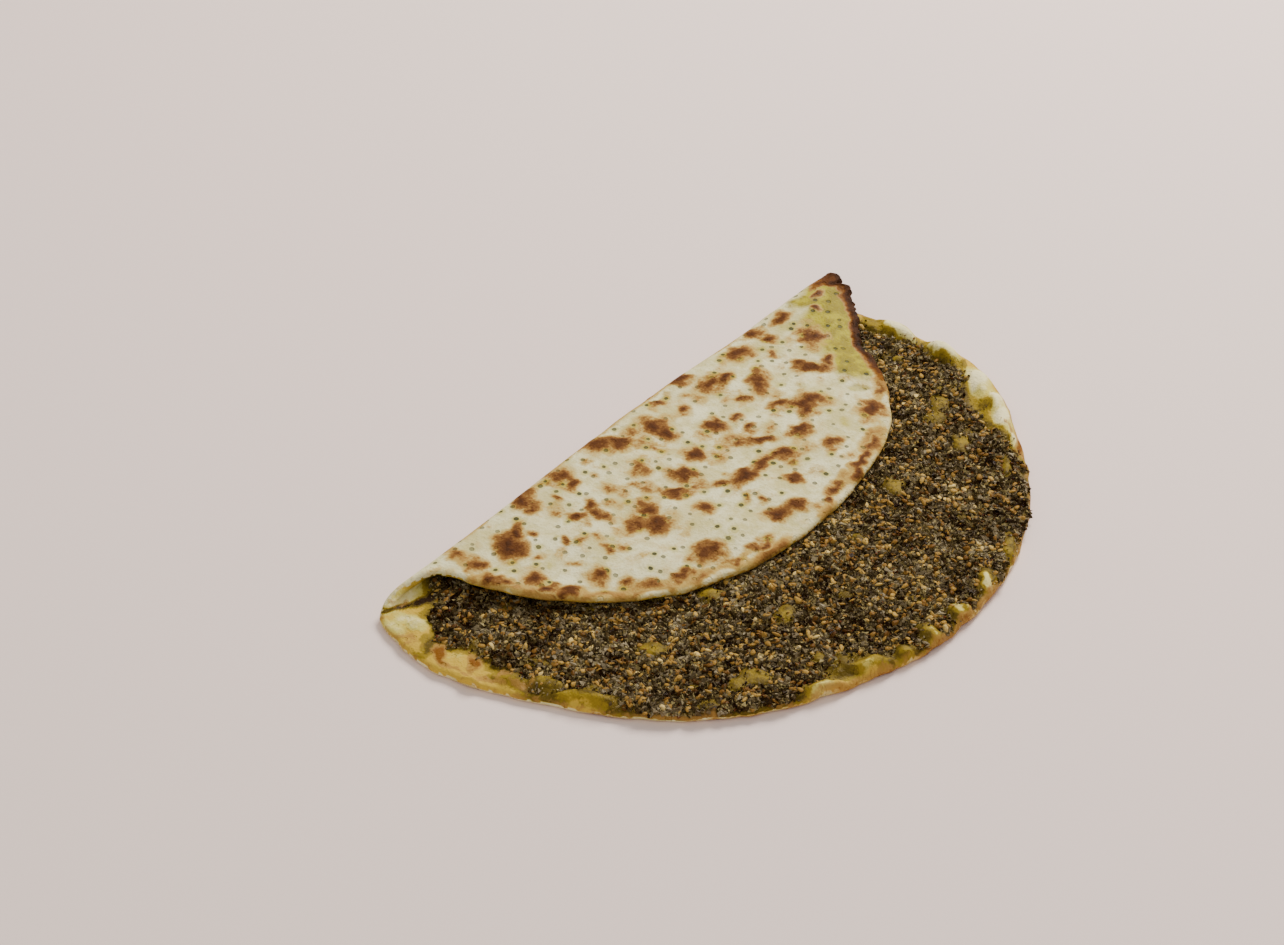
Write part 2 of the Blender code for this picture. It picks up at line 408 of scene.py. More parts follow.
# Browned spots of the baked side
SPOTS = marks(
    (510, 546, 22, 22, 0, 1.2), (518, 533, 12, 16, 0, 1.1), (477, 564, 17, 12),
    (458, 556, 22, 10, -10, 0.75), (531, 578, 22, 12), (599, 576, 18, 17), (636, 524, 20, 16),
    (655, 524, 28, 20), (648, 508, 20, 14), (522, 500, 20, 12, 30), (530, 508, 14, 10),
    (559, 478, 22, 13), (574, 485, 13, 9), (600, 446, 26, 14, 10), (620, 442, 22, 11),
    (655, 425, 26, 13, -15), (668, 433, 18, 12, -40), (682, 474, 24, 12), (676, 492, 28, 9),
    (693, 455, 20, 9), (642, 469, 16, 15, 0, 0.8), (592, 507, 10, 14, 30), (600, 517, 20, 8, -20),
    (577, 517, 16, 9), (704, 508, 19, 10), (709, 553, 26, 15, 10), (630, 584, 14, 10, 0, 0.8),
    (650, 584, 24, 10, 0, 0.8), (684, 575, 22, 10, 15, 0.85), (596, 476, 9, 5, 0, 0.6),
    (571, 590, 22, 8, 0, 0.9), (547, 588, 16, 8, 0, 1.2), (494, 580, 20, 8, -12, 0.95),
    (506, 584, 10, 6, 0, 0.8), (565, 541, 10, 9, 0, 0.95), (584, 541, 12, 9, 0, 0.7),
    (605, 550, 9, 7, 0, 0.85), (618, 532, 14, 8, 0, 0.4), (535, 532, 9, 7, 0, 0.85),
    (556, 502, 9, 7, 0, 0.75), (812, 336, 22, 17, -20), (797, 363, 14, 10), (812, 368, 30, 11),
    (826, 361, 12, 9), (806, 402, 38, 12, 5), (810, 411, 16, 14, 30), (781, 401, 16, 8),
    (801, 431, 19, 14, 20), (831, 441, 16, 10), (871, 409, 22, 14), (878, 385, 12, 14),
    (872, 445, 18, 10, 40), (862, 462, 24, 8, 45), (758, 382, 14, 19), (708, 384, 22, 14, 15),
    (722, 380, 14, 12), (680, 381, 15, 9, 0, 1.05), (738, 356, 24, 12, 15), (755, 331, 20, 8, 10),
    (769, 337, 14, 9), (782, 317, 20, 7, 15), (816, 308, 9, 6), (817, 295, 11, 5, 10),
    (713, 426, 22, 10), (682, 409, 12, 8, 0, 0.95), (738, 413, 12, 8), (743, 397, 10, 9, 0, 0.8),
    (750, 429, 12, 6, 0, 1.0), (765, 438, 22, 8, 10), (738, 443, 28, 8, 0, 0.8),
    (785, 453, 32, 10, 10), (660, 402, 16, 7, 20, 0.9), (690, 396, 16, 7, 20, 0.5),
    (771, 355, 11, 8, 0, 0.9), (826, 333, 8, 7, 0, 0.5), (722, 482, 18, 7, 10),
    (746, 476, 30, 12, 28), (763, 463, 20, 10, 40), (779, 513, 28, 12, 5), (796, 507, 18, 10),
    (833, 489, 20, 8, 20), (855, 473, 16, 8, 30), (828, 500, 10, 9), (763, 545, 28, 7, 28, 0.8),
    (793, 479, 17, 8), (744, 498, 9, 7, 0, 0.6), (848, 455, 14, 9, 20, 0.4),
    (735, 560, 22, 6, 20, 0.7), (780, 455, 9, 6, 0, 0.5), (762, 497, 11, 6, -30, 0.85),
    (590, 428, 20, 6, 35, 0.9), (640, 399, 20, 6, 35, 0.9), (646, 441, 16, 10, 0, 0.62),
    (657, 448, 12, 9, 0, 0.59), (609, 486, 16, 8, 10, 0.66), (621, 490, 10, 10, 0, 0.62),
    (634, 485, 12, 8, 0, 0.64), (648, 489, 14, 9, 0, 0.69), (613, 505, 14, 9, 0, 0.59),
    (626, 502, 10, 8, 0, 0.45), (555, 515, 12, 8, 0, 0.56), (598, 538, 10, 8, 0, 0.56),
    (618, 547, 12, 8, 0, 0.54), (573, 563, 16, 8, 0, 0.50), (697, 484, 20, 10, 0, 0.59),
    (790, 459, 16, 9, 0, 0.62), (817, 507, 12, 8, 0, 0.56), (632, 431, 18, 10, 30, 0.64),
    (540, 484, 16, 8, 30, 0.62), (523, 489, 14, 7, 30, 0.42), (730, 438, 20, 10, 0, 0.56),
    (728, 398, 10, 12, 0, 0.40), (701, 436, 12, 8, 0, 0.56), (668, 416, 12, 8, 0, 0.58),
    (585, 462, 12, 8, 0, 0.56), (565, 470, 12, 7, 20, 0.34), (720, 455, 16, 9, 0, 0.56),
    (770, 425, 12, 8, 0, 0.54), (813, 447, 14, 8, 0, 0.36), (686, 531, 10, 6, 0, 0.44),
    (560, 552, 12, 8, 0, 0.34), (540, 556, 12, 9, 0, 0.54), (586, 525, 10, 8, 0, 0.56),
    (645, 554, 12, 8, 0, 0.28), (790, 340, 12, 7, 20, 0.34), (744, 346, 14, 8, 20, 0.35),
    (773, 392, 10, 7, 0, 0.54), (698, 400, 12, 8, 0, 0.58),
)

# Oil that has come through the flap
OIL_STAINS = marks(
    (838, 316, 54, 86, 8, 1.2), (812, 294, 50, 18, 32, 1.0), (856, 352, 46, 50, -30, 1.2),
    (816, 318, 26, 40, 0, 0.75), (530, 592, 70, 12, -8, 0.6), (478, 580, 26, 12, -14, 0.4),
    (858, 388, 16, 9, 0, 0.55), (846, 422, 14, 9, 0, 0.5), (703, 487, 12, 8, 0, 0.45),
    (790, 466, 22, 8, 0, 0.4), (553, 538, 9, 6, 0, 0.5), (609, 538, 9, 6, 0, 0.5),
    (733, 423, 16, 14, 0, 0.45), (692, 447, 14, 8, 0, 0.4), (552, 566, 9, 6, 0, 0.5),
    (663, 398, 16, 9, 30, 0.4), (747, 378, 9, 9, 0, 0.45), (768, 420, 14, 9, 0, 0.35),
    (804, 388, 14, 9, 0, 0.40), (553, 507, 14, 9, 0, 0.45), (729, 437, 22, 12, 0, 0.50),
    (650, 445, 22, 14, 0, 0.45), (612, 503, 16, 9, 0, 0.40), (700, 484, 20, 10, 0, 0.45),
    (745, 410, 24, 12, 20, 0.40), (775, 352, 20, 12, 0, 0.45), (790, 325, 24, 12, 20, 0.45),
    (757, 348, 16, 9, 0, 0.40),
)

# Toasted and oily places on the bare rim of the lower layer
RIM_TOAST = marks(
    (410, 639, 26, 12, -30, 0.50), (441, 655, 16, 22, 20, 1.1), (400, 604, 34, 5, 14, 0.35),
    (383, 617, 12, 9, -60, 0.45), (472, 664, 10, 16, 0, 0.9), (500, 676, 16, 10, -10, 0.55),
    (520, 687, 22, 9, -10, 0.60), (455, 668, 60, 5, -22, 0.5), (488, 683, 40, 6, -18, 0.5),
    (588, 713, 70, 6, -6, 0.65), (1019, 446, 8, 26, 20, 0.9), (1010, 432, 5, 8, 0, 0.6),
    (780, 700, 36, 6, 10, 0.5), (455, 552, 22, 8, 40, 0.7),
)
RIM_OIL = marks(
    (427, 646, 14, 24, 0, 0.95), (455, 636, 44, 22, 20, 0.95), (470, 648, 36, 12, -20, 0.9),
    (500, 668, 40, 14, -20, 0.95), (410, 615, 26, 8, 10, 0.35), (430, 612, 30, 14, 20, 0.9),
    (417, 655, 20, 9, -30, 0.5), (520, 682, 50, 12, -14, 0.6), (432, 590, 22, 12, 40, 0.4),
    (1010, 551, 14, 24, 10, 0.8), (872, 328, 26, 12, -30, 0.7), (964, 368, 10, 9, -30, 0.9),
    (984, 407, 12, 10, -30, 0.9), (850, 672, 26, 12, 10, 0.9), (922, 346, 10, 9, -30, 0.8),
    (1004, 442, 10, 14, 0, 1.0), (885, 665, 44, 12, 8, 0.7), (840, 678, 40, 12, 10, 0.8),
    (550, 700, 30, 12, -10, 1.1), (530, 693, 20, 12, -10, 1.1), (490, 680, 12, 9, 0, 0.9),
    (430, 652, 12, 14, 0, 1.0), (612, 712, 26, 8, 0, 1.0), (700, 716, 130, 12, 2, 1.5),
    (845, 674, 14, 9, 0, 1.1), (795, 696, 20, 12, 0, 1.4), (945, 634, 20, 10, 30, 1.3),
    (915, 652, 14, 9, 30, 1.2), (975, 606, 12, 16, -30, 1.3), (1000, 578, 12, 22, -20, 1.2),
    (890, 662, 14, 9, 10, 1.1), (1022, 530, 12, 50, -6, 1.3),
)

# Painted shade where the fold's two layers part at its left end, and in the pocket under the
# flap's left corner
PAINTED_CREASE_SHADE = marks(
    (386, 611, 22, 4, 14, 1.2), (404, 606, 26, 4, 14, 1.7), (421, 602, 20, 7, 18, 1.9),
    (434, 596, 22, 10, 35, 1.9), (444, 588, 18, 10, 30, 1.9), (438, 579, 12, 24, -8, 1.7),
    (430, 582, 14, 20, -8, 0.8),
)

# Painted shadow on the topping, along the flap's rim and in the pocket at its left end
PAINTED_SHADOW_TOPPING = marks(
    (452, 590, 34, 22, -20, 1.0), (452, 610, 30, 38, 0, 0.75), (490, 600, 64, 18, -14, 1.0),
    (540, 608, 70, 14, -6, 0.85), (600, 611, 70, 11, 0, 0.7), (655, 605, 60, 10, 8, 0.6),
    (705, 592, 56, 9, 20, 0.5),
)

# White puffs of the lower layer's rim, which the oil hasn't reached
PALE_PUFFS = marks(
    (412, 622, 36, 14, -12, 0.70), (394, 627, 24, 10, -30, 0.55), (402, 598, 56, 18, 32, 0.72),
    (426, 575, 30, 12, 34, 0.70), (897, 334, 38, 12, -24, 1.0), (942, 356, 32, 15, -28, 1.0),
    (978, 384, 32, 22, -40, 1.0), (997, 404, 16, 20, 20, 0.9), (1005, 422, 18, 28, 25, 1.0),
    (1013, 442, 10, 18, 20, 0.85), (986, 587, 11, 20, 10, 0.66), (957, 616, 22, 10, -30, 0.60),
    (966, 612, 12, 10, 0, 0.56), (929, 637, 20, 9, -25, 0.55), (904, 656, 18, 9, 5, 0.36),
    (868, 668, 30, 9, 12, 0.42), (820, 691, 24, 8, 8, 0.50), (458, 655, 22, 14, -20, 0.20),
)

# Golden patches near the flap's rim
FLAP_TOAST = marks(
    (462, 560, 44, 12, -25, 0.75), (452, 551, 20, 10, 40, 0.8), (496, 582, 56, 10, -14, 1.25),
    (556, 592, 76, 11, -3, 1.30), (604, 594, 40, 8, 0, 0.9), (650, 587, 56, 12, 8, 1.35),
    (698, 576, 36, 11, 20, 1.10), (735, 562, 54, 9, 25, 0.8), (872, 440, 22, 34, -30, 1.05),
    (850, 474, 44, 16, 42, 0.9), (879, 392, 10, 26, 0, 0.6), (834, 492, 26, 12, 40, 0.55),
    (545, 508, 60, 26, 0, 0.28), (600, 540, 80, 20, -10, 0.25), (640, 462, 70, 30, 20, 0.25),
    (720, 440, 80, 40, 20, 0.28), (790, 470, 60, 26, 20, 0.25), (690, 510, 60, 26, 10, 0.22),
)

# The scorched lips of the corner, beyond the rim's own scorching
BURNT_LIPS = marks(
    (826, 281, 28, 9, 22, 0.75), (842, 288, 14, 8, -40, 0.5), (850, 296, 12, 14, -60, 0.4),
    (868, 356, 14, 22, 35, 0.30), (876, 370, 10, 16, 20, 0.30),
)

# Golden, oily swellings of the dough that show through the topping
SWELLINGS = marks(
    (935, 421, 18, 11), (960, 446, 18, 15), (939, 405, 18, 14), (895, 489, 24, 16),
    (1009, 551, 12, 20), (710, 597, 26, 12), (785, 618, 22, 14), (739, 686, 20, 12),
    (758, 680, 30, 16), (652, 652, 26, 12), (590, 700, 54, 9, -8), (545, 686, 30, 10, -10),
    (512, 681, 22, 10), (1006, 470, 9, 16), (655, 601, 14, 6), (818, 662, 14, 8),
    (898, 362, 12, 6),
)

# Where the topping is thin and the dough swells up through it
BARE_PATCHES = SWELLINGS + marks(
    (986, 586, 17, 26, 10), (959, 616, 30, 15, -20), (930, 637, 26, 13, -20), (905, 655, 20, 9),
    (868, 668, 38, 11, 10), (822, 690, 32, 9, 10), (843, 664, 56, 20, 14, 0.55),
    (590, 692, 60, 18, -8, 0.45), (941, 356, 34, 14, -26, 1.0), (870, 330, 22, 8, -20),
    (897, 335, 42, 13, -24, 1.0), (740, 640, 12, 6, 0, 0.5), (845, 596, 14, 7, 0, 0.5),
    (905, 560, 12, 7, 0, 0.5), (690, 690, 16, 6, 0, 0.5), (700, 640, 12, 6, 0, 0.45),
    (830, 640, 14, 7, 0, 0.5), (960, 520, 12, 8, 0, 0.5), (860, 540, 12, 6, 0, 0.45),
)


@dataclass(frozen=True)
class Wire:
    """A shader socket that Python's operators work on.

    Attributes:
        shader: The material that the socket belongs to.
        socket: The output socket.
    """

    shader: "Shader"
    socket: bpy.types.NodeSocket

    def _math(self, operation: str, first: "Wire | float", second: "Wire | float") -> "Wire":
        """Add a Math node."""
        return self.shader.node(
            "ShaderNodeMath", {"operation": operation}, {0: first, 1: second})

    def __add__(self, other: "Wire | float") -> "Wire":
        """The sum."""
        return self._math("ADD", self, other)

    __radd__ = __add__

    def __mul__(self, other: "Wire | float") -> "Wire":
        """The product."""
        return self._math("MULTIPLY", self, other)

    __rmul__ = __mul__

    def __sub__(self, other: "Wire | float") -> "Wire":
        """The difference."""
        return self._math("SUBTRACT", self, other)

    def __rsub__(self, other: float) -> "Wire":
        """The difference, from a number."""
        return self._math("SUBTRACT", other, self)

    def least(self, other: "Wire | float") -> "Wire":
        """The smaller of two values."""
        return self._math("MINIMUM", self, other)

    def eased(self, low: float, high: float) -> "Wire":
        """Ease from 0 at low to 1 at high."""
        return self.shader.node(
            "ShaderNodeMapRange", {"interpolation_type": "SMOOTHSTEP"},
            {"Value": self, "From Min": low, "From Max": high, "To Min": 0.0, "To Max": 1.0})


class Shader:
    """A material with one Principled shader, whose nodes are added by calls.

    Attributes:
        material: The material.
        tree: Its nodes.
        surface: Its Principled shader.
    """

    def __init__(self, name: str, **fixed: float) -> None:
        """Start the material.

        Args:
            name: The material's name.
            fixed: Values for the shader's own sockets, with _ for a space.
        """
        self.material = bpy.data.materials.new(name)
        self.material.use_nodes = True
        self.tree = self.material.node_tree
        self.surface = self.tree.nodes["Principled BSDF"]
        for socket, value in fixed.items():
            self.surface.inputs[socket.replace("_", " ")].default_value = value

    def node(
        self, kind: str, settings: dict[str, Any], values: dict[Any, Any], output: Any = 0
    ) -> Wire:
        """Add a node.

        Args:
            kind: The node's type.
            settings: Properties to set first.
            values: Values or wires for its inputs, by name or number.
            output: The output that is wanted, by name or number.

        Returns:
            The output's wire.
        """
        node = self.tree.nodes.new(kind)
        for name, value in settings.items():
            setattr(node, name, value)
        for name, value in values.items():
            if isinstance(value, Wire):
                self.tree.links.new(value.socket, node.inputs[name])
            else:
                node.inputs[name].default_value = value
        return Wire(self, node.outputs[output])

    def place(self) -> Wire:
        """The place on the piece."""
        return self.node("ShaderNodeTexCoord", {}, {}, "Object")

    def attribute(self, name: str) -> Wire:
        """A number that the mesh carries."""
        return self.node("ShaderNodeAttribute", {"attribute_name": name}, {}, "Fac")

    def noise(self, spacing: float, detail: float = 2.0, rough: float = 0.5) -> Wire:
        """Random lumps.

        Args:
            spacing: The lumps' spacing in metres.
            detail: How many finer layers are added.
            rough: How strong the finer layers are.

        Returns:
            Values from about -1 to 1.
        """
        fac = self.node(
            "ShaderNodeTexNoise", {},
            {"Vector": self.place(), "Scale": 1.0 / spacing, "Detail": detail,
             "Roughness": rough}, "Fac")
        return (fac - 0.5) * 4.0

    def cells(self, spacing: float, output: str, turn: float) -> Wire:
        """Unevenly spaced dots over the flat round, whose places the mesh carries.

        Args:
            spacing: The dots' usual spacing.
            output: "Distance" to the nearest dot, in spacings, or its own random "Color".
            turn: How far the dots' rows are turned, in degrees.

        Returns:
            The wanted output.
        """
        flat = self.node(
            "ShaderNodeCombineXYZ", {}, {0: self.attribute("along"), 1: self.attribute("across")})
        turned = self.node(
            "ShaderNodeMapping", {}, {"Vector": flat, "Rotation": (0.0, 0.0, math.radians(turn))})
        return self.node(
            "ShaderNodeTexVoronoi", {"voronoi_dimensions": "2D"},
            {"Vector": turned, "Scale": 1.0 / spacing, "Randomness": 0.9}, output)

    def blend(self, factor: Wire | float, first: Any, second: Any) -> Wire:
        """Mix two colours.

        Args:
            factor: 0 for the first colour and 1 for the second.
            first: A colour or its wire.
            second: A colour or its wire.

        Returns:
            The mixed colour.
        """
        full = [(*c, 1.0) if isinstance(c, tuple) else c for c in (first, second)]
        return self.node(
            "ShaderNodeMix", {"data_type": "RGBA"}, {0: factor, 6: full[0], 7: full[1]}, 2)

    def layered(self, ground: Any, value: Wire, *layers: tuple[Any, ...]) -> Wire:
        """Lay colours over a ground, one after another, as a value rises.

        Args:
            ground: A colour or its wire.
            value: What brings the colours in.
            layers: For each, where it sets in, where it is full, its colour, and perhaps
                how much of the ground it covers, from 0 to 1.

        Returns:
            The colour.
        """
        for low, high, colour, *share in layers:
            factor = value.eased(low, high)
            ground = self.blend(factor * share[0] if share else factor, ground, colour)
        return ground

    def steps(self, value: Wire, stops: Sequence[tuple[float, Colour]]) -> Wire:
        """Turn a value into a colour.

        Args:
            value: Values from 0 to 1.
            stops: Places from 0 to 1 and their colours, in rising order.

        Returns:
            The colour.
        """
        node = self.tree.nodes.new("ShaderNodeValToRGB")
        points = node.color_ramp.elements
        while len(points) < len(stops):
            points.new(0.5)
        for point, (place, colour) in zip(points, stops):
            point.position = place
            point.color = (*colour, 1.0)
        self.tree.links.new(value.socket, node.inputs[0])
        return Wire(self, node.outputs[0])

    def set(self, socket: str, value: Wire) -> None:
        """Link a wire to one of the shader's sockets."""
        self.tree.links.new(value.socket, self.surface.inputs[socket])

    def bump(self, height: Wire, distance: float, strength: float = 1.0) -> None:
        """Roughen the surface by a height, whose unit is the distance."""
        self.set("Normal", self.node(
            "ShaderNodeBump", {}, {"Height": height, "Distance": distance,
                                   "Strength": strength}))


@dataclass(frozen=True)
class DoughFinish:
    """Baked dough: creamy white, with scorched spots, toasted rims, oil stains and painted shade
    where the fold's layers part.

    Attributes:
        white: The palest ground of the baked side.
        cream: Its darker ground.
        tan: The lightest browning.
        golden: Golden crust.
        orange: The reddish rim of a spot.
        brown: A spot's inside.
        dark: The darkest spots.
        black: The burnt edge.
        rust: Red-brown toast on the topped side.
        oil: Dough with oil in it.
        herb: A docking dot.
        crumb: The topped side's bare dough.
        buff: The same, paler.
        puffed: The white of the puffs.
        stained: The deeper oil stains.
        smudge: The oil round a docking dot.
        darkest_soak_and_crease_shade: The darkest oil soaking, and painted shade for the dark
            line where two layers part.
        soaked: Dough that the topping has soaked.
        olive: The same, at its darkest.
        dot_spacing: The docking dots' spacing.
        dot_turn: How far their rows are turned, in degrees.
    """

    white: Colour = (0.85, 0.785, 0.46)
    cream: Colour = (0.62, 0.53, 0.225)
    tan: Colour = (0.53, 0.35, 0.088)
    golden: Colour = (0.38, 0.200, 0.045)
    orange: Colour = (0.22, 0.094, 0.021)
    brown: Colour = (0.102, 0.034, 0.008)
    dark: Colour = (0.058, 0.020, 0.006)
    black: Colour = (0.020, 0.008, 0.003)
    rust: Colour = (0.20, 0.073, 0.008)
    oil: Colour = (0.44, 0.365, 0.018)
    herb: Colour = (0.050, 0.050, 0.022)
    crumb: Colour = (0.58, 0.375, 0.042)
    buff: Colour = (0.64, 0.53, 0.115)
    puffed: Colour = (0.90, 0.79, 0.42)
    stained: Colour = (0.28, 0.215, 0.014)
    smudge: Colour = (0.17, 0.140, 0.018)
    darkest_soak_and_crease_shade: Colour = (0.022, 0.010, 0.003)
    soaked: Colour = (0.285, 0.188, 0.013)
    olive: Colour = (0.105, 0.067, 0.008)
    dot_spacing: float = 0.0070
    dot_turn: float = 24.0

    def baked_side(self, s: Shader, fine: Wire, medium: Wire) -> tuple[Wire, Wire]:
        """Colour the baked side.

        Args:
            s: The material.
            fine: Lumps about a millimetre apart.
            medium: Lumps a few millimetres apart.

        Returns:
            The colour, and the depth of the docking dots.
        """
        broad = s.noise(0.013, 2.0)
        ground = s.blend((broad + 0.6 * medium + 0.25 * fine).eased(-0.9, 0.9), self.cream,
                         self.white)
        flecks = s.noise(0.0060, 2.0) + 0.35 * fine + 0.35 * broad
        ground = s.layered(
            ground, flecks, (0.15, 0.85, self.tan, 0.50), (0.80, 1.30, self.golden, 0.75))
        oil = (s.attribute("oil") + 0.12 * medium + 0.05 * fine).eased(0.10, 0.80)
        stained = s.blend((broad + 0.9 * medium).eased(-0.6, 0.7), self.oil, self.stained)
        ground = s.blend(oil, ground, stained)
        toast = s.attribute("toast") + 0.16 * medium + 0.08 * fine
        ground = s.layered(
            ground, toast, (0.12, 0.50, self.tan), (0.42, 0.75, self.golden),
            (0.78, 1.05, self.orange))
        spots = s.attribute("char")
        rough = (spots + 0.04).least(0.42)
        char = spots + rough * (0.40 * medium + 0.26 * fine)
        colour = s.layered(
            ground, char, (0.06, 0.30, self.tan, 0.8), (0.26, 0.46, self.golden),
            (0.42, 0.58, self.orange), (0.55, 0.80, self.brown), (0.80, 1.08, self.dark))
        near = s.cells(self.dot_spacing, "Distance", self.dot_turn)
        mood = s.cells(self.dot_spacing, "Color", self.dot_turn)
        pick = s.node("ShaderNodeSeparateColor", {}, {0: mood}, 0)
        other = s.node("ShaderNodeSeparateColor", {}, {0: mood}, 1)
        pricked = (pick - 0.13 * broad).eased(0.22, 0.27)
        green = other.eased(0.35, 0.70) * (1.0 - (near + 0.05 * fine).eased(0.12, 0.40))
        clear = (1.0 - char.eased(0.40, 0.60)) * s.attribute("middle")
        halo = s.blend(oil, self.oil, self.smudge)
        colour = s.blend(green * pricked * clear * 0.50, colour, halo)
        size = 0.078 + 0.062 * pick
        dot = (1.0 - (near - size + 0.012 * fine).eased(-0.02, 0.035)) * pricked
        colour = s.blend(dot * (0.55 + 0.40 * other) * clear, colour, self.herb)
        return colour, dot

    def topped_side(self, s: Shader, fine: Wire, medium: Wire) -> Wire:
        """Colour the side that carries the topping.

        Args:
            s: The material.
            fine: Lumps about a millimetre apart.
            medium: Lumps a few millimetres apart.

        Returns:
            The colour.
        """
        pale = s.attribute("pale") + 0.14 * medium + 0.08 * fine
        colour = s.layered(
            self.crumb, pale, (0.08, 0.45, self.buff), (0.42, 0.98, self.puffed))
        # The oil value also carries painted shade where the fold's layers part, which the last
        # layer turns near black
        soak_and_crease_shade = s.attribute("oil") + 0.18 * medium + 0.12 * fine
        colour = s.layered(
            colour, soak_and_crease_shade, (0.12, 0.45, self.soaked), (0.55, 0.95, self.olive),
            (1.25, 1.60, self.darkest_soak_and_crease_shade))
        toast = s.attribute("toast") + 0.18 * medium + 0.08 * fine
        return s.layered(
            colour, toast, (0.16, 0.42, self.golden, 0.8), (0.45, 0.80, self.rust))

    def make(self) -> bpy.types.Material:
        """Build the material from the marks that the mesh carries.

        Returns:
            The material.
        """
        s = Shader("baked dough", Specular_IOR_Level=0.06)
        fine = s.noise(0.0010, 2.0, 0.6)
        medium = s.noise(0.0030, 2.0, 0.55)
        baked, dot = self.baked_side(s, fine, medium)
        topped = self.topped_side(s, fine, medium)
        colour = s.blend(s.attribute("crumb").eased(0.3, 0.7), baked, topped)
        burnt = s.attribute("burnt")
        burnt = burnt + (burnt + 0.05).least(0.5) * (0.30 * medium + 0.22 * fine)
        s.set("Base Color", s.layered(
            colour, burnt, (0.05, 0.18, self.golden), (0.14, 0.34, self.rust),
            (0.38, 0.58, self.brown), (0.70, 0.92, self.dark), (1.12, 1.35, self.black)))
        s.set("Roughness", 0.72 + 0.20 * burnt.eased(0.1, 0.6)
              - 0.28 * s.attribute("oil").least(1.0))
        s.bump(0.35 * fine + 0.5 * medium - 1.2 * dot, 0.00026)
        return s.material


@dataclass(frozen=True)
class LayerFinish:
    """The oily layer that the herbs and seeds lie in.

    Attributes:
        dark: The gaps between the crumbs.
        brown: The crumbs.
        olive: The layer where it is thin.
    """

    dark: Colour = (0.017, 0.005, 0.0008)
    brown: Colour = (0.074, 0.048, 0.012)
    olive: Colour = (0.19, 0.125, 0.018)

    def make(self) -> bpy.types.Material:
        """Build the material.

        Returns:
            The material.
        """
        s = Shader("herb layer", Roughness=0.36, Specular_IOR_Level=0.06)
        fine = s.noise(0.0008, 2.0, 0.6)
        medium = s.noise(0.0024, 2.0, 0.6)
        colour = s.blend((medium + 0.5 * fine).eased(-0.8, 0.9), self.dark, self.brown)
        thin = (s.attribute("thin") + 0.18 * medium + 0.1 * fine).eased(0.10, 0.60)
        s.set("Base Color", s.blend(thin, colour, self.olive))
        s.bump(0.5 * fine + 0.8 * medium, 0.0005)
        return s.material


@dataclass(frozen=True)
class BitsFinish:
    """Many small bits of one kind, each with a tone of its own.

    Attributes:
        name: The material's name.
        stops: The colours, from the darkest bit to the lightest.
        roughness: How matt the bits are.
        mottle: How much each bit's own colour varies.
    """

    name: str
    stops: tuple[tuple[float, Colour], ...]
    roughness: float = 0.45
    mottle: float = 0.10

    def make(self) -> bpy.types.Material:
        """Build the material.

        Returns:
            The material.
        """
        s = Shader(self.name, Roughness=self.roughness, Specular_IOR_Level=0.05)
        fine = s.noise(0.0007, 2.0, 0.6)
        tone = s.attribute("tone") + self.mottle * fine
        s.set("Base Color", s.steps(tone, self.stops))
        s.bump(fine, 0.00008)
        return s.material


class Herb(Enum):
    """The kinds of small bits in the topping."""

    LEAF = BitsFinish("dark herb", (
        (0.0, (0.014, 0.004, 0.0006)), (0.30, (0.056, 0.034, 0.010)),
        (0.65, (0.170, 0.125, 0.064)), (1.0, (0.31, 0.245, 0.140))), 0.30, 0.16)
    PASTE = BitsFinish("olive herb", (
        (0.0, (0.024, 0.008, 0.001)), (0.32, (0.124, 0.083, 0.026)),
        (0.66, (0.275, 0.207, 0.078)), (1.0, (0.41, 0.320, 0.130))), 0.36, 0.16)
    SEED = BitsFinish("sesame", (
        (0.0, (0.065, 0.024, 0.003)), (0.3, (0.20, 0.094, 0.017)),
        (0.65, (0.38, 0.215, 0.044)), (0.9, (0.55, 0.35, 0.085)),
        (1.0, (0.70, 0.50, 0.17))), 0.32, 0.08)
    SUMAC = BitsFinish("sumac", (
        (0.0, (0.035, 0.008, 0.003)), (1.0, (0.17, 0.045, 0.012))), 0.45)


